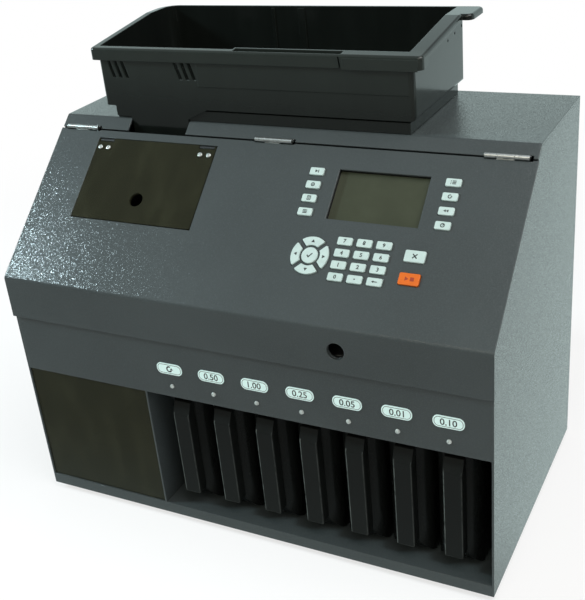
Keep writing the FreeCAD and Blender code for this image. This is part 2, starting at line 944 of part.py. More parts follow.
def key_centres():
    """Middle of each block key on the slope, as (x, distance up the slope), by node name."""
    centres = {}
    for column, side in (("left", -1), ("right", 1)):
        for index in range(side_key_count):
            s = display_s + ((side_key_count - 1) / 2 - index) * side_key_pitch
            centres[f"key_{column}_{index + 1}"] = (panel_x + side * side_key_offset, s)
    for row, names in enumerate(number_rows):
        for column, name in enumerate(names):
            x = panel_x + (column - (len(names) - 1) / 2) * number_column_pitch
            s = keypad_s + ((len(number_rows) - 1) / 2 - row) * number_row_pitch
            centres[f"key_{name}"] = (x, s)
    centres["key_clear"] = (command_key_x, keypad_s + command_key_pitch / 2)
    centres["key_start"] = (command_key_x, keypad_s - command_key_pitch / 2)
    return centres


def key_outlines():
    """Outline function of every key, by node name."""
    outlines = {}
    for name, (x, s) in key_centres().items():
        large = name in ("key_clear", "key_start")
        width = large_key_width if large else small_key_width
        height = large_key_height if large else small_key_height
        outlines[name] = block_outline(x, s, width, height)
    for index, name in enumerate(arrow_names):
        outlines[name] = arrow_outline(arrow_pad_x, keypad_s, index)
    outlines["key_ok"] = round_outline(arrow_pad_x, keypad_s, ok_radius)
    return outlines


def stem_centres():
    """Middle of each key's stem on the slope, by node name."""
    centres = key_centres()
    reach = (arrow_inner_radius + arrow_outer_radius) / 2
    for index, name in enumerate(arrow_names):
        angle = math.radians(90 * (index + 1))
        centres[name] = (arrow_pad_x + reach * math.cos(angle), keypad_s + reach * math.sin(angle))
    centres["key_ok"] = (arrow_pad_x, keypad_s)
    return centres


def key(name, outline_of, centre):
    """Keycap with its keeper flange under the lid and the stem that works its switch."""
    cap = raised(outline_of(0), key_flange_bottom, key_rise)
    if name in arrow_names:
        corners = [edge for edge in cap.Edges if edge.BoundBox.ZLength > key_rise]
        cap = cap.makeFillet(arrow_corner, corners)
    cap = round_top(cap, key_edge_round)
    flange = raised(outline_of(key_flange), key_flange_bottom, key_flange_top)
    stem = upright(centre[0], centre[1], key_stem_bottom, key_flange_bottom, key_stem_radius)
    return on_slope(merged([cap, flange, stem]))


def keypad_board():
    """Key switch board hung from the lid on posts, open round the display."""
    stems = stem_centres()
    xs = [x for x, s in stems.values()]
    ss = [s for x, s in stems.values()]
    x0, x1 = min(xs) - board_side_margin, max(xs) + board_side_margin
    s0, s1 = min(ss) - board_end_margin, max(ss) + board_end_margin
    board_bottom = board_top - board_thickness
    plate = box(x0, x1, s0, s1, board_bottom, board_top)
    room = display_block(display_border + board_window_gap, board_bottom, board_top)
    solids = [plate.cut(room)]
    for x, s in stems.values():
        solids.append(upright(x, s, board_top, dome_top, dome_radius))
    for x in (x0 + board_post_radius, x1 - board_post_radius):
        for s in (s0 + board_post_radius, s1 - board_post_radius):
            solids.append(upright(x, s, board_top, -sheet, board_post_radius))
    return on_slope(merged(solids))


def bin_label_plates():
    """Seven rounded value plates on the skirt."""
    tall = label_height / 2
    wide = label_width / 2
    corner = label_height * label_end_share
    plates = []
    for x in bin_xs:
        outline = rectangle(x - wide, x + wide, label_z - tall, label_z + tall, corner)
        plates.append(front_prism(outline, front - label_thickness, front))
    return Part.makeCompound(plates)


def indicator_lenses():
    """Seven round lenses pushed through the skirt from behind."""
    face = front - lens_rise
    rear = front + sheet
    lenses = []
    for x in bin_xs:
        body = along_y(x, face, rear, lens_z, lens_radius)
        front_edges = [edge for edge in body.Edges if edge.BoundBox.YMax < face + tolerance]
        body = body.makeFillet(lens_round, front_edges)
        flange = along_y(x, rear, rear + lens_flange_thickness, lens_z, lens_flange_radius)
        lenses.append(merged([body, flange]))
    return Part.makeCompound(lenses)


def rubber_feet():
    """Four tapered feet under the floor plate."""
    feet = []
    height = floor_top - sheet
    for x in (-half_width + foot_inset, half_width - foot_inset):
        for y in (front + foot_inset, back - foot_inset):
            foot = Part.makeCone(foot_base_radius, foot_radius, height, Vector(x, y, 0), Vector(0, 0, 1))
            feet.append(foot)
    return Part.makeCompound(feet)


def sorting_deck():
    """Plate between the side panels with the feed ring, the coin rail and seven drop openings."""
    y0 = front + deck_front_gap
    y1 = back - deck_back_gap
    solids = [box(-inner_half, inner_half, y0, y1, deck_bottom, deck_top)]
    for side in (-1, 1):
        x0, x1 = sorted((side * inner_half, side * (inner_half - sheet)))
        solids.append(box(x0, x1, y0, y1, deck_bottom - deck_flange_depth, deck_bottom))
    ring_inner = disc_radius + ring_gap
    ring_top = deck_top + ring_height
    ring = upright(disc_x, disc_y, deck_top, ring_top, ring_inner + ring_wall)
    ring = ring.cut(upright(disc_x, disc_y, deck_top, ring_top, ring_inner))
    track_front = track_y - chute_depth / 2
    way_out = box(disc_x, disc_x + 2 * disc_radius, track_front, disc_y, deck_top, ring_top)
    solids.append(ring.cut(way_out))
    rail_x = inner_half - sheet
    rail_top = deck_top + rail_height
    solids.append(box(disc_x, rail_x, track_front - rail_width, track_front, deck_top, rail_top))
    deck = merged(solids)
    cuts = [upright(disc_x, disc_y, deck_bottom, deck_top, shaft_radius + shaft_hole_gap)]
    for x in bin_xs:
        cuts.append(chute_bore(x, deck_bottom, deck_top))
    return deck.cut(cuts)


def coin_chutes():
    """Seven square chutes from the deck down to the openings over the bins."""
    chutes = []
    for x in bin_xs:
        wide = chute_width / 2
        deep = chute_depth / 2
        tube = box(x - wide, x + wide, track_y - deep, track_y + deep, shelf_top, deck_bottom)
        chutes.append(tube.cut(chute_bore(x, shelf_top, deck_bottom)))
    return Part.makeCompound(chutes)


def gear_motor():
    """Motor and gearbox hung under the deck, with the shaft that carries the feed disc."""
    half = motor_flange / 2
    flange_bottom = deck_bottom - motor_flange_thickness
    gearbox_bottom = flange_bottom - gearbox_length
    motor_bottom = shelf_top + motor_shelf_gap
    outline = rectangle(disc_x - half, disc_x + half, disc_y - half, disc_y + half, motor_flange_corner)
    flange = plan_prism(outline, flange_bottom, deck_bottom)
    gearbox = upright(disc_x, disc_y, gearbox_bottom, flange_bottom, gearbox_radius)
    motor = upright(disc_x, disc_y, motor_bottom, gearbox_bottom, motor_radius)
    shaft = upright(disc_x, disc_y, deck_bottom, deck_top + disc_gap + shaft_engagement, shaft_radius)
    return merged([flange, gearbox, motor, shaft])


def feed_disc():
    """Turning disc with raised ribs and a hub that sits on the motor's shaft."""
    low = deck_top + disc_gap
    face = low + disc_thickness
    disc = upright(disc_x, disc_y, low, face, disc_radius)
    hub = round_top(upright(disc_x, disc_y, face, face + disc_hub_height, disc_hub_radius), disc_hub_round)
    solids = [disc, hub]
    half = disc_rib_width / 2
    reach = disc_radius - disc_rib_margin
    for index in range(disc_rib_count):
        rib = box(disc_x, disc_x + reach, disc_y - half, disc_y + half, face, face + disc_rib_height)
        rib.rotate(Vector(disc_x, disc_y, 0), Vector(0, 0, 1), 360 * index / disc_rib_count)
        solids.append(rib)
    bore = upright(disc_x, disc_y, low, low + shaft_engagement + seat_gap, shaft_radius + shaft_clearance)
    return merged(solids).cut(bore)


def control_board():
    """Control board on posts, with its transformer and a row of connectors."""
    x0 = -inner_half + control_gap
    x1 = bay_left - sheet - control_gap
    y0 = front + control_from_front
    y1 = y0 + control_length
    low = floor_top + control_post_height
    high = low + board_thickness
    solids = [box(x0, x1, y0, y1, low, high)]
    for x in (x0 + control_post_inset, x1 - control_post_inset):
        for y in (y0 + control_post_inset, y1 - control_post_inset):
            solids.append(upright(x, y, floor_top, low, control_post_radius))
    near_x = x0 + control_part_inset
    far_y = y1 - control_part_inset
    top_z = high + transformer_height
    solids.append(box(near_x, near_x + transformer_size, far_y - transformer_size, far_y, high, top_z))
    far_x = x1 - control_part_inset
    top_z = high + connector_height
    for index in range(connector_count):
        y = y0 + control_part_inset + index * (connector_length + connector_gap)
        solids.append(box(far_x - connector_width, far_x, y, y + connector_length, high, top_z))
    return merged(solids)


def inlet_block(half_wide, half_tall, z, y0, y1):
    """Block on the inlet's centre line at height z, drawn out from y0 to y1."""
    return box(inlet_x - half_wide, inlet_x + half_wide, y0, y1, z - half_tall, z + half_tall)


def inlet_prism(half_wide, half_tall, z, y0, y1):
    """Round-cornered block on the inlet's centre line at height z, drawn out from y0 to y1."""
    outline = rectangle(inlet_x - half_wide, inlet_x + half_wide, z - half_tall, z + half_tall, inlet_corner)
    return front_prism(outline, y0, y1)


def power_inlet():
    """Moulded inlet with a three-pin socket below and the rocker's well above."""
    flange = inlet_prism(inlet_half_width, inlet_half_height, inlet_z, back, inlet_face)
    body = inlet_block(inlet_inner_half, inlet_inner_height / 2, inlet_z, back - inlet_depth, back)
    deep = inlet_face - socket_depth
    socket = inlet_prism(socket_width / 2, socket_height / 2, socket_z, deep, inlet_face)
    well = inlet_block(rocker_width / 2 + rocker_gap, well_height / 2, rocker_z, well_bottom, inlet_face)
    pivot_x0 = inlet_x - rocker_width / 2 - 2 * rocker_gap
    pivot_x1 = inlet_x + rocker_width / 2 + 2 * rocker_gap
    pivot = along_x(pivot_x0, pivot_x1, rocker_pivot_y, rocker_z, rocker_pivot_radius)
    solids = [merged([flange, body]).cut([socket, well]), pivot]
    half = socket_pin_thickness / 2
    for index, lift in ((-1, -1), (0, 1), (1, -1)):
        x = inlet_x + index * socket_pin_pitch
        low = socket_z + lift * socket_pin_stagger - socket_pin_width / 2
        root = deep - socket_pin_thickness
        solids.append(box(x - half, x + half, root, deep + socket_pin_length, low, low + socket_pin_width))
    return merged(solids)


def power_rocker():
    """Rocker cap with two faces set at a shallow angle, tipped to its off position."""
    tall = rocker_height / 2
    rise = tall * math.tan(math.radians(rocker_tilt))
    crown = inlet_face - rocker_gap
    heel = rocker_pivot_y - rocker_heel
    outline = [
        (heel, rocker_z - rocker_heel_half, 0),
        (crown - rise, rocker_z - tall, 0),
        (crown - 2 * rise, rocker_z, 0),
        (crown - rise, rocker_z + tall, 0),
        (heel, rocker_z + rocker_heel_half, 0),
    ]
    x0 = inlet_x - rocker_width / 2
    x1 = inlet_x + rocker_width / 2
    cap = side_prism(outline, x0, x1)
    cap = cap.cut(along_x(x0, x1, rocker_pivot_y, rocker_z, rocker_pivot_radius + pin_clearance))
    cap.rotate(Vector(inlet_x, rocker_pivot_y, rocker_z), Vector(1, 0, 0), -rocker_tilt)
    return cap


def coin_bin(x):
    """Open tub with a rounded toe and an upright handle on its front."""
    x0 = x - handle_width / 2
    x1 = x + handle_width / 2
    face_y = bin_front - handle_depth
    root_y = bin_front + handle_root
    low = bin_bottom + handle_foot_gap
    high = skirt_bottom - handle_top_gap
    plan = [
        (x0, face_y, handle_corner),
        (x1, face_y, handle_corner),
        (x1, root_y, 0),
        (x0, root_y, 0),
    ]
    profile = [
        (face_y, low, handle_toe_radius),
        (root_y, low, 0),
        (root_y, high, 0),
        (face_y + handle_bevel_depth, high, handle_top_round),
        (face_y, high - handle_bevel_height, handle_bend_radius),
    ]
    outline = [
        (x0, low, handle_foot_corner),
        (x1, low, handle_foot_corner),
        (x1, high, 0),
        (x0, high, 0),
    ]
    handle = plan_prism(plan, low, high).common(side_prism(profile, x0, x1))
    handle = handle.common(front_prism(outline, face_y, root_y))
    return merged([tub_form(x, 0), handle]).cut(tub_form(x, bin_wall))


def tub_form(x, inset):
    """Tub shape moved in by a wall on its sides and floor; the inner one runs out of the top."""
    wide = bin_width / 2 - inset
    front_y = bin_front + inset
    back_y = bin_back - inset
    low = bin_bottom + inset
    high = bin_top + inset
    plan = [
        (x - wide, front_y, bin_front_corner - inset),
        (x + wide, front_y, bin_front_corner - inset),
        (x + wide, back_y, bin_back_corner - inset),
        (x - wide, back_y, bin_back_corner - inset),
    ]
    profile = [
        (front_y, low, bin_toe_radius - inset),
        (back_y, low, bin_back_corner - inset),
        (back_y, high, 0),
        (front_y, high, 0),
    ]
    return plan_prism(plan, low, high).common(side_prism(profile, x - wide, x + wide))


def rim_level(y):
    """Height of the rim's top at a distance y: it rises from the front, then runs level."""
    return rim_top + (min(y, rim_bend_y) - tray_y0) * rim_slope


def rim_slab(upper, lower):
    """Everything between two depths under the line of the rim's top."""
    y0 = tray_y0 - 2 * rim_front
    y1 = rim_back_y + rim_back
    low = rim_level(y0)
    high = rim_level(y1)
    outline = [
        (y0, low - lower, 0),
        (rim_bend_y, high - lower, rim_bend_radius),
        (y1, high - lower, 0),
        (y1, high - upper, 0),
        (rim_bend_y, high - upper, rim_bend_radius),
        (y0, low - upper, 0),
    ]
    return side_prism(outline, tray_x0 - 2 * rim_left, tray_x1 + rim_right + 2 * ear_reach)


def rim_prism(points):
    """Polygon of (x, y, radius) drawn up through the whole height of the rim."""
    return plan_prism(points, rim_top - 2 * rim_skirt, rim_level(tray_y1) + rim_skirt)


def tray_plan(inset):
    """Corners of the tray's walls seen from above, moved in by inset."""
    x0 = tray_x0 + inset
    x1 = tray_x1 - inset
    y0 = tray_y0 + inset
    y1 = tray_y1 - inset
    corner = tray_corner - inset
    return [(x0, y0, corner), (x1, y0, corner), (x1, y1, corner), (x0, y1, tray_back_corner - inset)]


def tray_shell():
    """Tray walls and sloping floor under the rim."""
    high = rim_level(tray_y1)
    middle = rim_plate / 2
    profile = [
        (tray_y0, shell_bottom, 0),
        (tray_y1, shell_bottom, 0),
        (tray_y1, high - middle, 0),
        (rim_bend_y, high - middle, 0),
        (tray_y0, rim_top - middle, 0),
    ]
    ends = [
        (tray_x0, shell_bottom, tray_foot_round),
        (tray_x1, shell_bottom, tray_foot_round),
        (tray_x1, high, 0),
        (tray_x0, high, 0),
    ]
    shell = plan_prism(tray_plan(0), shell_bottom, high).common(side_prism(profile, tray_x0, tray_x1))
    shell = shell.common(front_prism(ends, tray_y0, tray_y1))
    low = shell_bottom + tray_floor
    above = high + tray_wall
    room = [
        (tray_x0, low, 0),
        (tray_x1, low + tray_floor_rise, 0),
        (tray_x1, above, 0),
        (tray_x0, above, 0),
    ]
    inner = plan_prism(tray_plan(tray_wall), shell_bottom, above)
    return shell.cut(front_prism(room, tray_y0, tray_y1).common(inner))


def rim_outline(inset):
    """Corners of the rim seen from above, moved in by inset."""
    x0 = tray_x0 - rim_left + inset
    x1 = tray_x1 + rim_right - inset
    ear_x = x1 + ear_reach
    y0 = skirt_y + inset
    y1 = rim_back_y - inset
    ear_y = rim_back_y - ear_length + inset
    return [
        (x0, y0, rim_corner - inset),
        (x1, y0, rim_corner - inset),
        (x1, ear_y, 0),
        (ear_x, ear_y, ear_corner - inset),
        (ear_x, y1, ear_corner - inset),
        (x0, y1, rim_back_corner - inset),
    ]


def rim_edges(shape):
    """Edges round the rim's top, without the two lines across its bend."""
    edges = []
    for edge in shape.Edges:
        ends = [vertex.Point for vertex in edge.Vertexes]
        on_top = all(abs(end.z - rim_level(end.y)) < tolerance for end in ends)
        at_bend = all(abs(end.y - rim_bend_y) < rim_bend_radius * rim_slope for end in ends)
        if on_top and not (at_bend and edge.BoundBox.YLength < tolerance):
            edges.append(edge)
    return edges


def tray_rim():
    """Rim that rises towards the back and then runs level, with its outer edge turned down."""
    x1 = tray_x1 + rim_right
    corner = tray_corner - tray_wall
    mouth = [
        (tray_x0 + tray_wall, tray_y0 + tray_wall, corner),
        (ledge_x, tray_y0 + tray_wall, 0),
        (ledge_x, ledge_y, 0),
        (tray_x1 - rim_ledge, ledge_y, corner),
        (tray_x1 - rim_ledge, tray_y1 - tray_wall, corner),
        (tray_x0 + tray_wall, tray_y1 - tray_wall, tray_back_corner - tray_wall),
    ]
    outer = rim_prism(rim_outline(0)).common(rim_slab(0, rim_skirt))
    outer = outer.makeFillet(rim_round, rim_edges(outer))
    under = rim_prism(rim_outline(rim_plate)).common(rim_slab(rim_plate, 2 * rim_skirt))
    right = rectangle(tray_x1, x1 + 2 * ear_reach, tray_y0 + rim_return, rim_back_y + rim_back, 0)
    right_room = rim_prism(right).common(rim_slab(rim_side_skirt, 2 * rim_skirt))
    rim = outer.cut([under, right_room, rim_prism(mouth)])
    strip = rectangle(band_x, x1 - rim_corner, skirt_y - rim_band, skirt_y, 0)
    band = rim_prism(strip).common(rim_slab(rim_round, rim_skirt + rim_band))
    return merged([rim, band, channel(0, 0, channel_depth + rim_plate)])


def channel(inset, upper, lower):
    """Block along the front ledge, its ends and back moved in by inset, between two depths."""
    plan = rectangle(ledge_x + inset, band_x - inset, skirt_y + rim_plate, ledge_y - inset, 0)
    return rim_prism(plan).common(rim_slab(upper, lower))


def rim_slit():
    """Cutter for the leaning slit that ends the front rim's raised band."""
    high = rim_top - rim_plate
    low = rim_top - 2 * rim_skirt
    outline = [
        (band_x - slit_width, low, 0),
        (band_x, low, 0),
        (band_x - slit_lean, high, 0),
        (band_x - slit_lean - slit_width, high, 0),
    ]
    return front_prism(outline, skirt_y - rim_band, skirt_y + rim_plate)


def tray_plinth():
    """Hollow foot of the tray with a groove round its top, and the apron in front of it."""
    x0 = tray_x0 + plinth_left
    x1 = tray_x1 - plinth_right
    y0 = tray_y0 + plinth_front
    y1 = tray_y1 - plinth_back
    groove_low = shell_bottom - plinth_groove_height
    deep = plinth_groove_depth
    wall = plinth_wall
    foot = box(x0, x1, y0, y1, tray_bottom, groove_low)
    neck = box(x0 + deep, x1 - deep, y0 + deep, y1 - deep, groove_low, shell_bottom)
    hollow = box(x0 + wall, x1 - wall, y0 + wall, y1 - wall, tray_bottom, shell_bottom)
    ring = merged([foot, neck]).cut(hollow)
    apron_low = tray_bottom + apron_gap
    apron = front_prism(
        [
            (x0, apron_low, 0),
            (spout_x1, apron_low, 0),
            (spout_x1 + apron_flare, shell_bottom, 0),
            (x0, shell_bottom, 0),
        ],
        tray_y0,
        tray_y0 + apron_thickness,
    )
    return [ring, apron]


def tray_details():
    """Stepped front and back walls, and the two flat ribs on the inside of the back wall."""
    step_x = tray_x0 + wall_step_from_left
    high = rim_top - rim_plate / 2
    details = [box(step_x, tray_x1 - tray_corner, tray_y0 - wall_step, tray_y0, step_top, high)]
    inside = tray_y1 - tray_wall
    face = inside - wall_step
    low = shell_bottom + tray_floor
    details.append(box(tray_x0 + tray_back_corner, tray_x1 - tray_corner, face, inside, low, step_top))
    for start, width in inner_ribs:
        x = tray_x0 + start
        details.append(box(x, x + width, face, inside, step_top, rim_level(inside) - rim_plate))
    return details


def tray_slots():
    """Cutters for the groups of leaning slots under the front rim."""
    low = top + slot_height
    high = low + slot_length
    cutters = []
    for start in slot_groups:
        for index in range(slot_count):
            x = tray_x0 + start + index * slot_pitch
            outline = [
                (x + slot_lean, low, 0),
                (x + slot_lean + slot_width, low, 0),
                (x + slot_width, high, 0),
                (x, high, 0),
            ]
            cutters.append(front_prism(outline, tray_y0, tray_y0 + tray_wall))
    return cutters


def coin_tray():
    """Loose coin tray with a rising rim and a spout that reaches down through the top cover."""
    spout = box(spout_x0, spout_x1, tray_y0, spout_y1, top - spout_drop, shell_bottom)
    passage = box(
        spout_x0 + tray_wall,
        spout_x1 - tray_wall,
        tray_y0 + tray_wall,
        spout_y1 - tray_wall,
        top - spout_drop,
        shell_bottom + tray_floor + tray_floor_rise,
    )
    cuts = [passage, rim_slit(), channel(channel_wall, -rim_plate, channel_depth)] + tray_slots()
    for index in range(pin_hole_count):
        y = tray_y1 - tray_corner - tray_wall - index * pin_hole_pitch
        z = rim_top + (y - tray_y0) * rim_slope - pin_hole_drop
        cuts.append(along_x(tray_x1 - 2 * tray_wall, tray_x1 + tray_wall, y, z, pin_hole_radius))
    return merged([tray_shell(), tray_rim(), spout] + tray_plinth() + tray_details()).cut(cuts)


def all_parts():
    """Every node of the machine by name."""
    parts = {
        "base_pan": base_pan(),
        "left_side_panel": side_panel(-1),
        "right_side_panel": side_panel(1),
        "rear_panel": rear_panel(),
        "top_cover": top_cover(),
        "front_skirt": front_skirt(),
        "side_window": side_window(),
        "bay_divider": bay_divider(),
        "cabinet_hinge_halves": cabinet_hinge_halves(),
        "bin_label_plates": bin_label_plates(),
        "indicator_lenses": indicator_lenses(),
        "rubber_feet": rubber_feet(),
        "sorting_deck": sorting_deck(),
        "coin_chutes": coin_chutes(),
        "gear_motor": gear_motor(),
        "feed_disc": feed_disc(),
        "control_board": control_board(),
        "power_inlet": power_inlet(),
        "power_rocker": power_rocker(),
        "lid_panel": lid_panel(),
        "lid_hinge_halves": lid_hinge_halves(),
        "display_module": display_module(),
        "keypad_board": keypad_board(),
        "flap_window": flap_window(),
        "flap_hinges": flap_hinges(),
        "coin_tray": coin_tray(),
    }
    for index, x in enumerate(bin_xs):
        parts[f"coin_bin_{index + 1}"] = coin_bin(x)
    centres = stem_centres()
    for name, outline_of in key_outlines().items():
        parts[name] = key(name, outline_of, centres[name])
    return parts


def main():
    """Write one file per node."""
    os.makedirs("parts", exist_ok=True)
    for name, shape in all_parts().items():
        shape.exportStep(f"parts/{name}.step")


main()
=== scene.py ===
"""Looks of a coin sorting machine: a painted sheet cabinet, a keypad lid, seven bins and a coin tray.

Metres. X runs left to right seen from the front, the front faces -Y, +Z is up.
"""
import json
import logging
import math
from dataclasses import dataclass
from enum import Enum
from typing import Any, Union

import bpy
import numpy as np
from mathutils import Matrix, Vector

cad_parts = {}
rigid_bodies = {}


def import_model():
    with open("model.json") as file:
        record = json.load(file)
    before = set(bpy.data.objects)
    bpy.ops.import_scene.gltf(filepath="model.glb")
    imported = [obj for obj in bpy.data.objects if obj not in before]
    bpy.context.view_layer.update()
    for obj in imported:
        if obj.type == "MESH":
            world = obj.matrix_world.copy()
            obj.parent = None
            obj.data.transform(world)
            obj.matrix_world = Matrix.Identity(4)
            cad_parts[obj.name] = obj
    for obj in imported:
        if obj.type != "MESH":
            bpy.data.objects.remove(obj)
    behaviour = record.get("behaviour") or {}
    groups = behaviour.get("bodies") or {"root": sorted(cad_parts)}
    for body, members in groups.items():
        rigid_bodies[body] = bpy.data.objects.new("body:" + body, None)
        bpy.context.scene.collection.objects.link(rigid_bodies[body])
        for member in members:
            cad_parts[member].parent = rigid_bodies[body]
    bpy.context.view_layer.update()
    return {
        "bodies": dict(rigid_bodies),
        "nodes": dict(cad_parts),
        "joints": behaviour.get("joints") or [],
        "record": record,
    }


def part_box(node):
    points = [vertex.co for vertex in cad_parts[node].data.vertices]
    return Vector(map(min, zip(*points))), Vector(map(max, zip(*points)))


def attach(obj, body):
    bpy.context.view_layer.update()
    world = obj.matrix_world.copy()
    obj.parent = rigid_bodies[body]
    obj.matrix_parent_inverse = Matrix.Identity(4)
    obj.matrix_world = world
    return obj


log = logging.getLogger("coin_sorter")

Array = np.ndarray
Faces = list[tuple[int, ...]]
Side = tuple[int, int]
Pair = tuple[float, float]
Triple = tuple[float, float, float]
Frame = dict[str, Any]
Sockets = dict[str | int, Any]
Operand = Union["Signal", float]
Tint = Union["Signal", Triple]

MM = 0.001
ACROSS = np.array([1.0, 0.0, 0.0])
UPRIGHT = np.array([0.0, 0.0, 1.0])
WHITE = (1.0, 1.0, 1.0)
# Numbers of a Mix node's colour sockets: both inputs and the output
MIX_FIRST, MIX_SECOND, MIX_RESULT = 6, 7, 2


class Signal:
    """A shader socket that takes part in Python arithmetic; each operator adds one Math node."""

    def __init__(self, graph: "Graph", socket: bpy.types.NodeSocket) -> None:
        """Keep the socket and the graph that it belongs to."""
        self.graph = graph
        self.socket = socket

    def __add__(self, other: Operand) -> "Signal":
        """Sum, with the signal on either side."""
        return self.graph.math("ADD", self, other)

    def __mul__(self, other: Operand) -> "Signal":
        """Product, with the signal on either side."""
        return self.graph.math("MULTIPLY", self, other)

    __radd__ = __add__
    __rmul__ = __mul__

    def __sub__(self, other: Operand) -> "Signal":
        """Difference."""
        return self.graph.math("SUBTRACT", self, other)

    def __rsub__(self, other: Operand) -> "Signal":
        """Difference with the signal second."""
        return self.graph.math("SUBTRACT", other, self)

    def __abs__(self) -> "Signal":
        """Size without sign."""
        return self.graph.math("ABSOLUTE", self, 0.0)

    def below(self, level: Operand) -> "Signal":
        """One where the signal is under a level, and zero elsewhere."""
        return self.graph.math("LESS_THAN", self, level)

    def most(self, other: Operand) -> "Signal":
        """The larger of two signals."""
        return self.graph.math("MAXIMUM", self, other)

    def fraction(self) -> "Signal":
        """What is left over a whole number."""
        return self.graph.math("FRACT", self, 0.0)

    def ramp(self, low: float, high: float) -> "Signal":
        """Smooth rise from zero at the low level to one at the high level."""
        sockets = {"Value": self, "From Min": low, "From Max": high}
        return self.graph.node("ShaderNodeMapRange", {"interpolation_type": "SMOOTHSTEP"}, sockets)


class Graph:
    """A shader node tree that is filled by expressions."""

    def __init__(self, tree: bpy.types.NodeTree) -> None:
        """Start with an empty tree."""
        self.tree = tree
        tree.nodes.clear()

    def node(
        self,
        kind: str,
        settings: dict[str, Any] | None = None,
        sockets: Sockets | None = None,
        output: str | int = 0,
    ) -> Signal | None:
        """Add one node.

        Args:
            kind: type name of the node.
            settings: attributes of the node, set before its sockets.
            sockets: values or signals by socket name or number.
            output: name or number of the output that is wanted.

        Returns:
            The wanted output, or None on a node that ends the tree.
        """
        made = self.tree.nodes.new(kind)
        for name, value in (settings or {}).items():
            setattr(made, name, value)
        for name, value in (sockets or {}).items():
            if isinstance(value, Signal):
                self.tree.links.new(value.socket, made.inputs[name])
            else:
                made.inputs[name].default_value = value
        return Signal(self, made.outputs[output]) if made.outputs else None

    def math(self, operation: str, first: Operand, second: Operand) -> Signal:
        """One Math node on two values."""
        return self.node("ShaderNodeMath", {"operation": operation}, {0: first, 1: second})

    def vector(self, operation: str, *values: Union[Signal, Triple], output: int = 0) -> Signal:
        """One Vector Math node, whose output 0 is a vector and output 1 a number."""
        return self.node("ShaderNodeVectorMath", {"operation": operation}, dict(enumerate(values)), output)

    def place(self) -> Signal:
        """Object coordinates, in metres."""
        return self.node("ShaderNodeTexCoord", output="Object")

    def part(self, vector: Signal, axis: int) -> Signal:
        """One coordinate of a vector."""
        return self.node("ShaderNodeSeparateXYZ", None, {0: vector}, axis)

    def along(self, vector: Signal, direction: Triple) -> Signal:
        """How far a vector reaches in a fixed direction."""
        return self.vector("DOT_PRODUCT", vector, direction, output=1)

    def nearest(self, value: Signal, first: float, pitch: float) -> Signal:
        """Distance to the nearest of a row of evenly spaced places."""
        return self.math("PINGPONG", value - first, pitch / 2)

    def stretched(self, vector: Signal, scale: Triple) -> Signal:
        """Vector scaled by its own factor on each axis."""
        return self.node("ShaderNodeMapping", None, {"Vector": vector, "Scale": scale})

    def noise(self, vector: Signal, scale: float, detail: float) -> Signal:
        """Cloudy pattern from 0 to 1, with this many lumps to a metre."""
        return self.node("ShaderNodeTexNoise", None, {"Vector": vector, "Scale": scale, "Detail": detail})

    def cells(self, vector: Signal, scale: float, output: str = "Distance") -> Signal:
        """Pattern of cells, with this many to a metre."""
        return self.node("ShaderNodeTexVoronoi", None, {"Vector": vector, "Scale": scale}, output)

    def mix(self, factor: Operand, first: Tint, second: Tint) -> Signal:
        """Blend of two colours.

        Args:
            factor: share of the second colour.
            first: colour at a share of zero.
            second: colour at a share of one.

        Returns:
            The blended colour.
        """
        pair = [value if isinstance(value, Signal) else (*value, 1.0) for value in (first, second)]
        sockets = {0: factor, MIX_FIRST: pair[0], MIX_SECOND: pair[1]}
        return self.node("ShaderNodeMix", {"data_type": "RGBA"}, sockets, MIX_RESULT)

    def soft_edge(self, radius: float, samples: int = 4) -> Signal:
        """Normal rounded over the edges within a radius."""
        return self.node("ShaderNodeBevel", {"samples": samples}, {"Radius": radius})

    def edge_wear(self, rounded: Signal, span: Pair = (0.02, 0.3)) -> Signal:
        """Zero on flats to one on sharp edges: one less the cosine between rounded and true normals."""
        face = self.node("ShaderNodeNewGeometry", output="Normal")
        return (1.0 - self.vector("DOT_PRODUCT", rounded, face, output=1)).ramp(*span)

    def bump(self, height: Signal, depth: float, strength: float, under: Signal | None) -> Signal:
        """Normal of a surface that rises with a pattern.

        Args:
            height: pattern from 0 to 1.
            depth: rise of the surface where the pattern is one, in metres.
            strength: share of the slope that shows.
            under: normal before the rise, or None for the mesh's own.

        Returns:
            The new normal.
        """
        sockets = {"Height": height, "Distance": depth, "Strength": strength}
        if under is not None:
            sockets["Normal"] = under
        return self.node("ShaderNodeBump", None, sockets)

    def tilted(self, normal: Signal, pattern: Signal, amount: float) -> Signal:
        """Normal leaned by amount * (pattern - 1/2), where the pattern runs from 0 to 1 on each axis."""
        leaned = self.vector("MULTIPLY_ADD", pattern, (amount,) * 3, normal)
        return self.vector("NORMALIZE", self.vector("SUBTRACT", leaned, (amount / 2,) * 3))

    def ray(self, kind: str) -> Signal:
        """One for rays of a kind, and zero for the others."""
        return self.node("ShaderNodeLightPath", output=f"Is {kind} Ray")

    def seen(self) -> Signal:
        """One for camera, mirror and see-through rays, and zero for rays that gather light."""
        return self.ray("Camera").most(self.ray("Glossy")).most(self.ray("Transmission"))


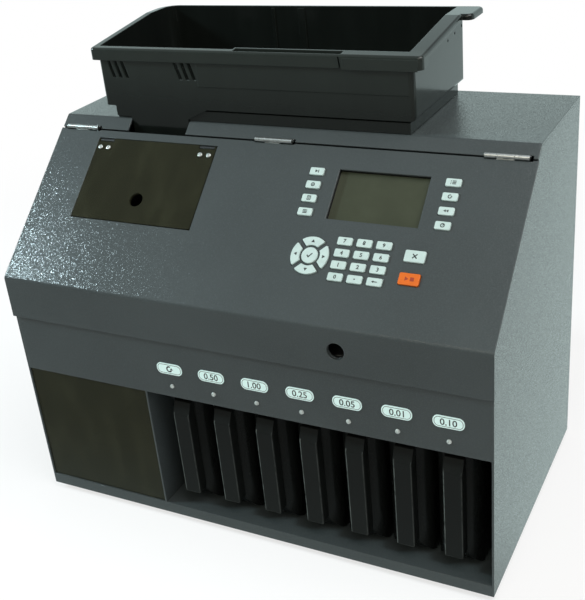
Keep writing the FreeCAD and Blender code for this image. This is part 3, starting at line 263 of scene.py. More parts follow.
@dataclass(frozen=True)
class Finish:
    """A surface finish: its material's name, its main colour in linear light, relief and edges."""

    name: str
    colour: Triple
    relief: float = 0.05 * MM
    relief_strength: float = 0.2
    edge_radius: float = 0.3 * MM

    def material(self) -> bpy.types.Material:
        """Build the material.

        Returns:
            A material whose surface is this finish's shader.
        """
        made = bpy.data.materials.new(self.name)
        made.use_nodes = True
        graph = Graph(made.node_tree)
        graph.node("ShaderNodeOutputMaterial", None, {"Surface": self.shader(graph)})
        return made

    def shader(self, graph: Graph) -> Signal:
        """One surface shader fed by this finish's sockets."""
        return graph.node("ShaderNodeBsdfPrincipled", None, self.sockets(graph, graph.place()))

    def sockets(self, graph: Graph, place: Signal) -> Sockets:
        """Values and links of the surface shader."""
        raise NotImplementedError

    def tone(self, factor: float) -> Triple:
        """The main colour made lighter or darker."""
        red, green, blue = self.colour
        return (red * factor, green * factor, blue * factor)

    def relieved(self, pattern: Signal, under: Signal | None = None) -> Signal:
        """Normal of this finish's relief, with a pattern as its height."""
        return pattern.graph.bump(pattern, self.relief, self.relief_strength, under)


@dataclass(frozen=True)
class PowderCoat(Finish):
    """Textured powder coat: low lumps, and flakes that lean at random, some of them polished."""

    relief_strength: float = 0.9
    edge_radius: float = 1.6 * MM
    lumps: float = 760.0
    flakes: float = 1950.0
    flake_tilt: float = 0.24
    polished_share: float = 0.4
    shuffle: float = 17.0
    roughness: float = 0.2
    polish: float = 0.14
    index: float = 1.4
    coat: float = 0.3
    coat_roughness: float = 0.55

    def polished(self, lean: Signal) -> Signal:
        """One on the polished flakes, which are drawn from the later digits of a flake's lean."""
        draw = (lean.graph.part(lean, 0) * self.shuffle).fraction()
        return 1.0 - draw.below(1.0 - self.polished_share)

    def sockets(self, graph: Graph, place: Signal) -> Sockets:
        """Lumps and flakes turn the normal, polished flakes are smoother, and worn edges are paler.

        Args:
            graph: the material's nodes.
            place: object coordinates.

        Returns:
            Values and links by socket.
        """
        grain = graph.noise(place, self.lumps, 1.0)
        fleck = graph.cells(place, self.flakes)
        lean = graph.cells(place, self.flakes, "Color")
        cloud = graph.noise(place, 7.0, 4.0)
        rounded = graph.soft_edge(self.edge_radius)
        wear = graph.edge_wear(rounded) * (0.35 + 0.65 * graph.noise(place, 90.0, 3.0))
        tint = graph.mix(cloud.ramp(0.3, 0.7), self.tone(0.93), self.tone(1.07))
        tint = graph.mix(grain.ramp(0.42, 0.75) * 0.5, tint, self.tone(1.3))
        lumpy = self.relieved(grain * 0.8 + fleck * 0.2, rounded)
        return {
            "Base Color": graph.mix(wear * 0.4, tint, self.tone(1.9)),
            "Roughness": self.roughness + 0.05 * (cloud - 0.5) - self.polish * self.polished(lean),
            "IOR": self.index,
            "Coat Weight": self.coat,
            "Coat Roughness": self.coat_roughness,
            "Normal": graph.tilted(lumpy, lean, self.flake_tilt),
        }


@dataclass(frozen=True)
class MouldedPlastic(Finish):
    """Moulded plastic: a faint waviness in its gloss, a fine skin, and rubbed edges that a strong edge tone
    turns into painted highlights.
    """

    relief: float = 0.25 * MM
    relief_strength: float = 0.35
    edge_radius: float = 0.6 * MM
    edge_tone: float = 2.2
    edge_share: float = 0.3
    gloss: float = 0.22
    index: float = 1.42

    def sockets(self, graph: Graph, place: Signal) -> Sockets:
        """Smears change tone and gloss, waves and skin bend the normal, and rubbed edges are paler, a
        painted highlight where the edge tone is strong.

        Args:
            graph: the material's nodes.
            place: object coordinates.

        Returns:
            Values and links by socket.
        """
        wave = graph.noise(place, 34.0, 1.0)
        skin = graph.noise(place, 1500.0, 2.0)
        smear = graph.noise(graph.stretched(place, (1.0, 1.0, 0.25)), 60.0, 5.0)
        rounded = graph.soft_edge(self.edge_radius)
        wear = graph.edge_wear(rounded)
        tint = graph.mix(smear.ramp(0.35, 0.75), self.tone(0.85), self.tone(1.2))
        return {
            # paler edges: wear, which the tray's strong edge tone makes a painted highlight
            "Base Color": graph.mix(wear * self.edge_share, tint, self.tone(self.edge_tone)),
            "Roughness": self.gloss + 0.14 * (smear - 0.4) + 0.05 * skin,
            "IOR": self.index,
            "Normal": self.relieved(wave * 0.9 + skin * 0.03, rounded),
        }


@dataclass(frozen=True)
class BinPlastic(MouldedPlastic):
    """Black bin plastic whose grained handle, in front of the tub, is painted paler than the tub, which
    stays dark as painted shade, with painted highlights and wear along the handle's edges.

    The bins stand in a row, so the edges of every handle lie at one distance from the nearest bin's
    middle, and their feet at one height.
    """

    tub_front: float = 0.0
    handle_front: float = 0.0
    first_middle: float = 0.0
    pitch: float = 1.0
    handle_half: float = 0.01
    handle_foot: float = 0.0
    line: float = 0.9 * MM
    handle_tone: float = 1.45
    grain_tone: float = 1.3
    line_tone: float = 18.0
    right_share: float = 0.3
    grain_gloss: float = 0.2

    def rubbed(self, graph: Graph, place: Signal) -> Signal:
        """Painted highlights and wear: bright lines on the handle's front, a little in from its edges and
        worn thin in places.

        Args:
            graph: the material's nodes.
            place: object coordinates.

        Returns:
            One along the left edge and the foot, less along the right edge, and zero elsewhere.
        """
        across, depth, height = (graph.part(place, axis) for axis in range(3))
        inset = self.handle_half - 1.2 * self.line
        core, fade = 0.3 * self.line, 0.8 * self.line
        edges = (self.first_middle - inset, self.first_middle + inset)
        distances = [graph.nearest(across, edge, self.pitch) for edge in edges]
        left, right = (1.0 - distance.ramp(core, fade) for distance in distances)
        foot = 1.0 - height.ramp(self.handle_foot + fade, self.handle_foot + fade + self.line)
        front = depth.below(self.handle_front + 1.3 * self.line)
        thin = graph.noise(place, 150.0, 3.0).ramp(0.2, 0.6)
        # painted highlight: weaker on the right edge than on the left edge and the foot
        return left.most(foot).most(self.right_share * right) * front * thin

    def sockets(self, graph: Graph, place: Signal) -> Sockets:
        """The plain plastic behind the tub's front, dark as painted shade, and the grained handle before
        it, painted paler, with painted highlights and wear on its edges.

        Args:
            graph: the material's nodes.
            place: object coordinates.

        Returns:
            Values and links by socket.
        """
        values = super().sockets(graph, place)
        # painted light and shade: the handle is painted paler, the tub behind it stays dark as in shade
        handle = graph.part(place, 1).below(self.tub_front)
        grain = graph.noise(place, 1100.0, 2.0).ramp(0.35, 0.7)
        face = graph.mix(grain, self.tone(self.handle_tone), self.tone(self.grain_tone * self.handle_tone))
        face = graph.mix(self.rubbed(graph, place), face, self.tone(self.line_tone))
        values["Base Color"] = graph.mix(handle, values["Base Color"], face)
        values["Roughness"] = values["Roughness"] + handle * self.grain_gloss
        return values


@dataclass(frozen=True)
class TrayPlastic(MouldedPlastic):
    """Black tray plastic with painted light: paler up its front towards the rim, with painted shade low
    down and further back.
    """

    foot: float = 0.0
    rim: float = 1.0
    front: float = 0.0
    rub_depth: float = 20.0 * MM
    rub_share: float = 0.7
    shade_tone: float = 0.55
    rubbed_tone: float = 2.2

    def sockets(self, graph: Graph, place: Signal) -> Sockets:
        """The plain plastic, under painted light and shade: a tone that rises with height and with nearness
        to the front.

        Args:
            graph: the material's nodes.
            place: object coordinates.

        Returns:
            Values and links by socket.
        """
        values = super().sockets(graph, place)
        height = graph.part(place, 2).ramp(self.foot, self.rim)
        near = 1.0 - graph.part(place, 1).ramp(self.front, self.front + self.rub_depth)
        # painted light and shade: paler high up near the front, darker at the foot and further back
        rub = graph.mix(height * near, self.tone(self.shade_tone), self.tone(self.rubbed_tone))
        values["Base Color"] = graph.mix(self.rub_share, values["Base Color"], rub)
        return values


@dataclass(frozen=True)
class SmokedSheet(Finish):
    """Smoked acrylic: dark, polished and a little see-through, with smears and dust specks."""

    relief: float = 0.1 * MM
    relief_strength: float = 0.05
    clearness: float = 0.1
    gloss: float = 0.07
    index: float = 1.3

    def sockets(self, graph: Graph, place: Signal) -> Sockets:
        """Smears dull the sheet and close it a little, and rare specks of dust are paler.

        Args:
            graph: the material's nodes.
            place: object coordinates.

        Returns:
            Values and links by socket.
        """
        smear = graph.noise(graph.stretched(place, (1.0, 0.4, 0.4)), 45.0, 6.0)
        speck = graph.cells(place, 260.0).below(0.07)
        rare = graph.noise(place, 60.0, 1.0).ramp(0.55, 0.7)
        tint = graph.mix(smear.ramp(0.4, 0.8), self.tone(0.9), self.tone(1.25))
        return {
            "Base Color": graph.mix(speck * rare * 0.5, tint, self.tone(8.0)),
            "Roughness": self.gloss + 0.12 * smear.ramp(0.45, 0.8),
            "IOR": self.index,
            "Alpha": 1.0 - self.clearness * (1.0 - smear.ramp(0.5, 0.9) * 0.4),
            "Normal": self.relieved(smear),
        }


@dataclass(frozen=True)
class PlatedMetal(Finish):
    """Bright plated metal with fine draw lines, painted inside a span across and under a level."""

    relief_strength: float = 0.25
    edge_radius: float = 0.4 * MM
    paint: Triple = (0.03, 0.033, 0.035)
    dark_middle: float = 0.0
    dark_half: float = 0.0
    dark_level: float = 0.0
    out: Triple = (0.0, 0.0, 1.0)
    gloss: float = 0.24

    def sockets(self, graph: Graph, place: Signal) -> Sockets:
        """Tarnish darkens and dulls the metal, and paint covers it where it is inside the span.

        Args:
            graph: the material's nodes.
            place: object coordinates.

        Returns:
            Values and links by socket.
        """
        lines = graph.noise(graph.stretched(place, (0.08, 1.0, 1.0)), 2600.0, 2.0)
        tarnish = graph.noise(place, 160.0, 4.0)
        offset = abs(graph.part(place, 0) - self.dark_middle)
        painted = offset.below(self.dark_half) * graph.along(place, self.out).below(self.dark_level)
        bright = graph.mix(tarnish.ramp(0.4, 0.8), self.colour, self.tone(0.72))
        return {
            "Base Color": graph.mix(painted, bright, self.paint),
            "Metallic": 1.0 - painted,
            "Roughness": self.gloss + 0.18 * (tarnish - 0.4) + 0.1 * lines,
            "Normal": self.relieved(lines, graph.soft_edge(self.edge_radius)),
        }


@dataclass(frozen=True)
class BrushedSheet(Finish):
    """Bare brushed sheet with long scratches along X and dull patches."""

    relief: float = 0.06 * MM
    relief_strength: float = 0.3
    edge_radius: float = 0.5 * MM
    roughness: float = 0.34

    def sockets(self, graph: Graph, place: Signal) -> Sockets:
        """Patches change the tone, and scratches the gloss and the normal.

        Args:
            graph: the material's nodes.
            place: object coordinates.

        Returns:
            Values and links by socket.
        """
        lines = graph.noise(graph.stretched(place, (0.02, 1.0, 1.0)), 1800.0, 3.0)
        patch = graph.noise(place, 22.0, 4.0)
        return {
            "Base Color": graph.mix(patch.ramp(0.3, 0.8), self.tone(1.08), self.tone(0.8)),
            "Metallic": 1.0,
            "Roughness": self.roughness + 0.2 * (lines - 0.5) + 0.15 * (patch - 0.5),
            "Normal": self.relieved(lines, graph.soft_edge(self.edge_radius)),
        }


@dataclass(frozen=True)
class KeyRubber(Finish):
    """Matt moulded key: an even colour with a fine skin, and grime where the edge turns."""

    relief: float = 0.04 * MM
    edge_radius: float = 0.35 * MM
    grime: Triple = (0.22, 0.24, 0.23)
    roughness: float = 0.42
    index: float = 1.35

    def sockets(self, graph: Graph, place: Signal) -> Sockets:
        """Touch changes tone and gloss a little, and grime lies on the touched edges.

        Args:
            graph: the material's nodes.
            place: object coordinates.

        Returns:
            Values and links by socket.
        """
        skin = graph.noise(place, 2200.0, 2.0)
        touch = graph.noise(place, 120.0, 4.0)
        rounded = graph.soft_edge(self.edge_radius)
        dirt = graph.edge_wear(rounded) * touch.ramp(0.35, 0.7)
        tint = graph.mix(touch.ramp(0.3, 0.8), self.tone(1.03), self.tone(0.93))
        return {
            "Base Color": graph.mix(dirt * 0.35, tint, self.grime),
            "Roughness": self.roughness + 0.12 * (touch - 0.5),
            "IOR": self.index,
            "Normal": self.relieved(skin, rounded),
        }


@dataclass(frozen=True)
class PrintedPlate(Finish):
    """Printed plastic plate: white with a faint mottle and dull rubbed patches."""

    relief: float = 0.03 * MM
    relief_strength: float = 0.15
    gloss: float = 0.3

    def sockets(self, graph: Graph, place: Signal) -> Sockets:
        """Mottle changes the tone a little, and rubbed patches are darker and duller.

        Args:
            graph: the material's nodes.
            place: object coordinates.

        Returns:
            Values and links by socket.
        """
        mottle = graph.noise(place, 500.0, 3.0)
        rub = graph.noise(place, 70.0, 4.0)
        tint = graph.mix(mottle.ramp(0.3, 0.8), self.colour, self.tone(0.95))
        return {
            "Base Color": graph.mix(rub.ramp(0.55, 0.85) * 0.25, tint, self.tone(0.8)),
            "Roughness": self.gloss + 0.2 * (rub - 0.4),
            "Normal": self.relieved(mottle, graph.soft_edge(self.edge_radius)),
        }


@dataclass(frozen=True)
class FrostedLens(Finish):
    """Milky indicator lens with paler clouds in it."""

    relief_strength: float = 0.1
    edge_radius: float = 0.6 * MM
    core: Triple = (0.52, 0.57, 0.55)
    gloss: float = 0.16
    index: float = 1.5

    def sockets(self, graph: Graph, place: Signal) -> Sockets:
        """Clouds of milk change tone, gloss and normal.

        Args:
            graph: the material's nodes.
            place: object coordinates.

        Returns:
            Values and links by socket.
        """
        milk = graph.noise(place, 420.0, 3.0)
        return {
            "Base Color": graph.mix(milk.ramp(0.35, 0.7), self.colour, self.core),
            "Roughness": self.gloss + 0.1 * milk,
            "IOR": self.index,
            "Normal": self.relieved(milk, graph.soft_edge(self.edge_radius)),
        }


@dataclass(frozen=True)
class FootRubber(Finish):
    """Dull black rubber with a dusty skin."""

    relief: float = 0.15 * MM
    relief_strength: float = 0.3
    edge_radius: float = 0.8 * MM
    dust: Triple = (0.09, 0.088, 0.08)
    roughness: float = 0.72

    def sockets(self, graph: Graph, place: Signal) -> Sockets:
        """Dust lies in patches, paler and duller than the rubber.

        Args:
            graph: the material's nodes.
            place: object coordinates.

        Returns:
            Values and links by socket.
        """
        skin = graph.noise(place, 900.0, 4.0)
        dust = graph.noise(place, 80.0, 5.0)
        return {
            "Base Color": graph.mix(dust.ramp(0.5, 0.85) * 0.5, self.colour, self.dust),
            "Roughness": self.roughness + 0.2 * (dust - 0.4),
            "Normal": self.relieved(skin, graph.soft_edge(self.edge_radius)),
        }


@dataclass(frozen=True)
class CircuitBoard(Finish):
    """Green board with paler copper runs under its lacquer, and dark parts above a level."""

    relief: float = 0.04 * MM
    relief_strength: float = 0.4
    parts_colour: Triple = (0.03, 0.03, 0.032)
    parts_level: float = 10.0
    gloss: float = 0.34

    def sockets(self, graph: Graph, place: Signal) -> Sockets:
        """Copper runs stand out a little, and what is above the level has the parts' colour.

        Args:
            graph: the material's nodes.
            place: object coordinates.

        Returns:
            Values and links by socket.
        """
        copper = graph.cells(graph.stretched(place, (1.0, 0.35, 0.35)), 240.0).ramp(0.42, 0.5)
        above = 1.0 - graph.part(place, 2).below(self.parts_level)
        tint = graph.mix(copper * 0.7, self.colour, self.tone(2.4))
        return {
            "Base Color": graph.mix(above, tint, self.parts_colour),
            "Roughness": self.gloss + 0.12 * copper,
            "Normal": self.relieved(copper, graph.soft_edge(self.edge_radius)),
        }


@dataclass(frozen=True)
class DisplayGlass(Finish):
    """Unlit display: an olive screen sunk in a black frame, under smeared glass."""

    relief_strength: float = 0.05
    frame_colour: Triple = (0.008, 0.008, 0.009)
    middle: Pair = (0.0, 0.0)
    half: Pair = (0.045, 0.025)
    up: Triple = (0.0, 0.7, 0.7)
    out: Triple = (0.0, -0.7, 0.7)
    screen_level: float = 0.0
    gloss: float = 0.16
    index: float = 1.3

    def sockets(self, graph: Graph, place: Signal) -> Sockets:
        """The screen is what lies under its level and within half its size of its middle.

        Args:
            graph: the material's nodes.
            place: object coordinates.

        Returns:
            Values and links by socket.
        """
        across = abs(graph.part(place, 0) - self.middle[0])
        along = abs(graph.along(place, self.up) - self.middle[1])
        sunk = graph.along(place, self.out).below(self.screen_level)
        screen = across.below(self.half[0]) * along.below(self.half[1]) * sunk
        smear = graph.noise(place, 38.0, 5.0)
        rows = graph.noise(graph.stretched(place, (0.02, 1.0, 1.0)), 1400.0, 1.0)
        tint = graph.mix(smear.ramp(0.3, 0.75), self.tone(0.92), self.tone(1.1))
        tint = graph.mix(rows * 0.12, tint, self.tone(0.6))
        return {
            "Base Color": graph.mix(screen, self.frame_colour, tint),
            "Roughness": self.gloss + 0.16 * smear.ramp(0.4, 0.8),
            "IOR": self.index,
            "Normal": self.relieved(smear),
        }


@dataclass(frozen=True)
class Ink(Finish):
    """Screen-printed ink: a flat tone that is slightly broken up."""

    roughness: float = 0.45

    def sockets(self, graph: Graph, place: Signal) -> Sockets:
        """The ink is paler and duller where it is broken.

        Args:
            graph: the material's nodes.
            place: object coordinates.

        Returns:
            Values and links by socket.
        """
        broken = graph.noise(place, 2600.0, 3.0)
        tint = graph.mix(broken.ramp(0.55, 0.8), self.colour, self.tone(2.2))
        return {"Base Color": tint, "Roughness": self.roughness + 0.15 * broken}


@dataclass(frozen=True)
class FloorPaper(Finish):
    """Pale matt floor that shows partly as plain white, so shadows stay soft, and as a room in mirrors."""

    room_tone: Triple = WHITE
    mirror_tone: Triple = WHITE
    glow: float = 0.7
    glow_span: Pair = (0.5, 1.6)
    mirror_glow: float = 0.85
    sweep_span: Pair = (-0.3, 0.0)

    def shader(self, graph: Graph) -> Signal:
        """Mix of the matt floor and a plain tone, which rises to all white far from the machine.

        Args:
            graph: the material's nodes.

        Returns:
            The floor's shader.
        """
        place = graph.place()
        camera = graph.ray("Camera")
        distance = graph.vector("LENGTH", place, output=1)
        glow = self.glow + (1.0 - self.glow) * distance.ramp(*self.glow_span)
        sweep = graph.mix(graph.part(place, 1).ramp(*self.sweep_span), self.room_tone, self.mirror_tone)
        tone = graph.mix(camera, sweep, WHITE)
        matt = graph.node("ShaderNodeBsdfDiffuse", None, {"Color": (*self.colour, 1.0)})
        plain = graph.node("ShaderNodeEmission", None, {"Color": tone, "Strength": 1.0})
        share = camera * glow + (graph.seen() - camera) * self.mirror_glow
        return graph.node("ShaderNodeMixShader", None, {0: share, 1: matt, 2: plain})


def put(name: str, data: bpy.types.ID, place: Matrix) -> bpy.types.Object:
    """Add an object to the scene.

    Args:
        name: name of the object.
        data: its mesh, lamp or camera.
        place: where it stands and how it is turned.

    Returns:
        The new object.
    """
    made = bpy.data.objects.new(name, data)
    made.matrix_world = place
    bpy.context.scene.collection.objects.link(made)
    return made


def mesh_points(mesh: bpy.types.Mesh) -> Array:
    """Read a mesh's points.

    Args:
        mesh: the mesh.

    Returns:
        One row of three coordinates for each point.
    """
    points = np.empty(len(mesh.vertices) * 3)
    mesh.vertices.foreach_get("co", points)
    return points.reshape(-1, 3)


def grid_faces(rows: int, columns: int, closed: bool) -> Array:
    """Four-cornered faces of a grid of points.

    Args:
        rows: points along the first parameter.
        columns: points along the second parameter.
        closed: whether the last column joins the first.

    Returns:
        One row of four point numbers for each face.
    """
    steps = columns if closed else columns - 1
    row, column = np.meshgrid(np.arange(rows - 1), np.arange(steps), indexing="ij")
    following = (column + 1) % columns
    corners = [row * columns + column, row * columns + following]
    corners += [(row + 1) * columns + following, (row + 1) * columns + column]
    return np.stack(corners, axis=-1).reshape(-1, 4)


@dataclass
class Surface:
    """Points and faces of a piece before it becomes an object."""

    points: Array
    faces: Faces

    def joined(self, other: "Surface") -> "Surface":
        """This surface with another beside it."""
        shifted = [tuple(index + len(self.points) for index in face) for face in other.faces]
        return Surface(np.concatenate([self.points, other.points]), self.faces + shifted)

    def shown(self, name: str, material: bpy.types.Material, smooth: bool = False) -> bpy.types.Object:
        """Make the object and dress it.

        Args:
            name: name of the object.
            material: finish of the whole object.
            smooth: whether its faces are shaded as one curve.

        Returns:
            The new object.
        """
        mesh = bpy.data.meshes.new(name)
        mesh.from_pydata(self.points.tolist(), [], [tuple(map(int, face)) for face in self.faces])
        mesh.materials.append(material)
        if smooth:
            mesh.shade_smooth()
        mesh.validate()
        return put(name, mesh, Matrix())

    def build(
        self, name: str, body: str, material: bpy.types.Material, smooth: bool = False
    ) -> bpy.types.Object:
        """Make the object and let it ride on a body.

        Args:
            name: name of the piece.
            body: the moving body that carries it.
            material: finish of the whole piece.
            smooth: whether its faces are shaded as one curve.

        Returns:
            The new object.
        """
        made = self.shown(name, material, smooth)
        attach(made, body)
        log.info("%s rides on %s with %d faces", name, body, len(made.data.polygons))
        return made


@dataclass(frozen=True)
class Plane:
    """A flat face of the machine that marks are laid on: its middle, and two directions in it."""

    middle: Array
    across: Array
    up: Array

    def lay(self, flat: Surface) -> Surface:
        """Carry a surface in (across, up, height off the face) to the machine's frame."""
        axes = np.stack([self.across, self.up, np.cross(self.across, self.up)])
        return Surface(self.middle + flat.points @ axes, flat.faces)


def prism(outline: Array, height: float) -> Surface:
    """Solid plate: the flat outline at height zero, again at its height, and walls between them.

    Args:
        outline: flat points, one row each, run round against the clock.
        height: thickness of the plate.

    Returns:
        The closed surface of the plate.
    """
    count = len(outline)
    low = np.column_stack([outline, np.zeros(count)])
    high = np.column_stack([outline, np.full(count, height)])
    faces = [tuple(face) for face in grid_faces(2, count, True)]
    faces.append(tuple(range(count))[::-1])
    faces.append(tuple(range(count, 2 * count)))
    return Surface(np.concatenate([low, high]), faces)


def band(path: Array, width: float, height: float, closed: bool) -> Surface:
    """Raised line along a flat path.

    Four corners are carried along the path: half the width to each side of it, at height zero and
    at full height. The side direction is the mean of the two neighbouring edges' normals, made
    longer at a corner by one over the cosine of half the turn.

    Args:
        path: flat points, one row each.
        width: breadth of the line.
        height: how far it stands off the face.
        closed: whether the last point joins the first.

    Returns:
        The closed surface of the line.
    """
    before = path - np.roll(path, 1, axis=0)
    after = np.roll(path, -1, axis=0) - path
    if not closed:
        before[0] = after[0]
        after[-1] = before[-1]
    sides = [np.column_stack([-edge[:, 1], edge[:, 0]]) for edge in (before, after)]
    sides = [side / np.linalg.norm(side, axis=1, keepdims=True) for side in sides]
    mean = sides[0] + sides[1]
    mean /= np.linalg.norm(mean, axis=1, keepdims=True)
    reach = width / 2 / np.sum(mean * sides[0], axis=1, keepdims=True)
    left, right = path + mean * reach, path - mean * reach
    flat, raised = np.zeros((len(path), 1)), np.full((len(path), 1), height)
    corners = [(right, flat), (left, flat), (left, raised), (right, raised)]
    count = len(corners)
    points = np.stack([np.hstack(pair) for pair in corners], axis=1).reshape(-1, 3)
    rows = len(path) + 1 if closed else len(path)
    faces = [tuple(face) for face in grid_faces(rows, count, True) % len(points)]
    if not closed:
        faces.append(tuple(range(count))[::-1])
        faces.append(tuple(range(len(points) - count, len(points))))
    return Surface(points, faces)


def arc(radius: float, start: float, end: float, count: int = 25) -> Array:
    """Points on a circle between two angles in degrees."""
    angle = np.radians(np.linspace(start, end, count))
    return radius * np.column_stack([np.cos(angle), np.sin(angle)])


def circle(radius: float, count: int = 24) -> Array:
    """Points round a whole circle, the first one not repeated."""
    return arc(radius, 0.0, 360.0 - 360.0 / count, count)


def pill(width: float, height: float, radius: float, count: int = 13) -> Array:
    """Rectangle with round corners: a quarter circle at each corner, run round in one direction.

    Args:
        width: breadth of the rectangle.
        height: height of the rectangle.
        radius: radius of its corners.
        count: points on each corner.

    Returns:
        Flat points, one row each.
    """
    corners = []
    for turn, (side, end) in enumerate([(1, 1), (-1, 1), (-1, -1), (1, -1)]):
        centre = np.array([side * (width / 2 - radius), end * (height / 2 - radius)])
        corners.append(centre + arc(radius, 90 * turn, 90 * turn + 90, count))
    return np.concatenate(corners)


class Sign(Enum):
    """Plain signs, each with the name of the key that carries it."""

    STEP = "key_left_1"
    RING = "key_left_2"
    SHEET = "key_left_3"
    STACK = "key_left_4"
    ROWS = "key_right_1"
    TURN = "key_right_2"
    REWIND = "key_right_3"
    DIAL = "key_right_4"
    BACK = "key_back"
    CROSS = "key_clear"
    RUN = "key_start"
    TICK = "key_ok"
    UP = "key_up"
    LEFT = "key_left"
    DOWN = "key_down"
    RIGHT = "key_right"


# Which side of the round pad each arrow key lies on, as (across, up)
ARROWS: dict[Sign, Side] = {Sign.UP: (0, 1), Sign.LEFT: (-1, 0), Sign.DOWN: (0, -1), Sign.RIGHT: (1, 0)}
LARGE_SIGNS = (Sign.CROSS, Sign.RUN, Sign.TICK)


@dataclass(frozen=True)
class Printer:
    """Draws signs and numbers as thin raised ink, in units of half a sign's height."""

    line: float = 0.42
    film: float = 0.05 * MM
    lift: float = 0.01 * MM
    least_type: float = 0.6

    def triangle(self, turn: float, size: float = 0.9, shift: float = 0.0) -> Surface:
        """Filled triangle that points in a direction in degrees."""
        corners = arc(size, turn, turn + 240, 3)
        return prism(corners + np.array([shift, 0.0]), 1.0)

    def stroke(self, *points: Pair) -> Surface:
        """Line through points."""
        return band(np.array(points, float), self.line, 1.0, False)

    def ring(self, radius: float) -> Surface:
        """Line round a circle."""
        return band(circle(radius), self.line, 1.0, True)

    def rows(self, left: float, right: float, levels: tuple[float, ...]) -> list[Surface]:
        """Level strokes, one under another."""
        return [self.stroke((left, level), (right, level)) for level in levels]

    def shapes(self) -> dict[Sign, list[Surface]]:
        """Draw every sign.

        Returns:
            The strokes and filled shapes of each sign.
        """
        page = np.array([(-0.8, -1.0), (0.8, -1.0), (0.8, 1.0), (-0.8, 1.0)])
        bars = (0.7, 0.0, -0.7)
        shapes = {
            Sign.STEP: [self.triangle(0, 0.9, -0.3), self.stroke((0.95, -0.8), (0.95, 0.8))],
            Sign.RING: [self.ring(0.8), prism(circle(0.32), 1.0)],
            Sign.SHEET: [band(page, self.line * 0.8, 1.0, True), *self.rows(-0.4, 0.4, (0.35, -0.35))],
            Sign.STACK: self.rows(-1.1, 1.1, bars),
            Sign.ROWS: self.rows(-0.5, 1.3, bars) + self.rows(-1.3, -0.95, bars),
            Sign.TURN: [band(arc(0.8, 60, 330), self.line, 1.0, False), self.triangle(330, 0.55, 0.75)],
            Sign.REWIND: [self.triangle(180, 0.8, -0.55), self.triangle(180, 0.8, 0.65)],
            Sign.DIAL: [self.ring(0.85), self.stroke((0.0, 0.0), (0.5, 0.5))],
            Sign.BACK: [self.triangle(180, 0.7, -0.7), self.stroke((-0.6, 0.0), (1.3, 0.0))],
            Sign.CROSS: [self.stroke((-0.8, -0.8), (0.8, 0.8)), self.stroke((-0.8, 0.8), (0.8, -0.8))],
            Sign.RUN: [self.triangle(0, 0.9, -1.0), prism(pill(1.4, 1.4, 0.1) + np.array([1.1, 0.0]), 1.0)],
            Sign.TICK: [self.stroke((-0.9, 0.0), (-0.25, -0.7), (1.0, 0.8))],
        }
        for sign, (across, up) in ARROWS.items():
            shapes[sign] = [self.triangle(math.degrees(math.atan2(up, across)))]
        return shapes

    def sign(self, sign: Sign, height: float) -> Surface:
        """A sign of a real height, in flat coordinates.

        Args:
            sign: which sign.
            height: height of a sign that is two units high.

        Returns:
            The sign's strokes and shapes as one surface.
        """
        whole, *others = self.shapes()[sign]
        for other in others:
            whole = whole.joined(other)
        return Surface(whole.points * np.array([height / 2, height / 2, self.film]), whole.faces)

    def number(self, text: str, height: float, weight: float = 0.03) -> Surface:
        """Plain figures of a real height, in flat coordinates, centred on their own box.

        Args:
            text: the figures.
            height: height of the tallest figure.
            weight: how much the strokes are thickened, as a share of the type size.

        Returns:
            The figures as one closed surface.
        """
        curve = bpy.data.curves.new("figures", "FONT")
        curve.body = text
        curve.extrude = 0.5
        curve.offset = weight
        curve.resolution_u = 4
        holder = bpy.data.objects.new("figures", curve)
        mesh = bpy.data.meshes.new_from_object(holder)
        points = mesh_points(mesh)
        faces = [tuple(face.vertices) for face in mesh.polygons]
        bpy.data.objects.remove(holder)
        bpy.data.curves.remove(curve)
        bpy.data.meshes.remove(mesh)
        low, high = points[:, :2].min(0), points[:, :2].max(0)
        flat = (points[:, :2] - (low + high) / 2) * height / max(high[1] - low[1], self.least_type)
        raised = np.where(points[:, 2] > 0.0, self.film, 0.0)
        return Surface(np.column_stack([flat, raised]), faces)


@dataclass(frozen=True)
class Slope:
    """The sloping lid's directions, read from the way its keys travel."""

    out: Array

    @classmethod
    def of(cls, frame: Frame) -> "Slope":
        """Take the direction from the round key's joint, which is pressed straight in.

        Args:
            frame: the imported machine.

        Returns:
            The slope.
        """
        pressed = next(joint for joint in frame["joints"] if joint["child"] == "key_ok")
        inward = np.array(pressed["axis"], float)
        return cls(-inward / np.linalg.norm(inward))

    @property
    def up(self) -> Array:
        """Direction up the slope."""
        return np.cross(self.out, ACROSS)

    def flat(self, node: bpy.types.Object) -> Array:
        """A node's points as (across, up the slope, off the slope)."""
        points = mesh_points(node.data)
        return np.column_stack([points[:, 0], points @ self.up, points @ self.out])

    def face(self, node: bpy.types.Object, film: float = 0.01 * MM) -> tuple[Array, Array, float]:
        """Measure a node's outermost face.

        Args:
            node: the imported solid.
            film: how far under the outermost point its face reaches.

        Returns:
            Lowest and highest (across, up) of the face, and its level off the slope.
        """
        flat = self.flat(node)
        level = flat[:, 2].max()
        rim = flat[flat[:, 2] > level - film][:, :2]
        return rim.min(0), rim.max(0), float(level)

    def levels(self, node: bpy.types.Object, digits: int = 5) -> Array:
        """The different heights off the slope of a node's points, lowest first."""
        return np.unique(np.round(self.flat(node)[:, 2], digits))

    def plane(self, across: float, up: float, out: float) -> Plane:
        """The plane at a place on the slope."""
        return Plane(across * ACROSS + up * self.up + out * self.out, ACROSS, self.up)


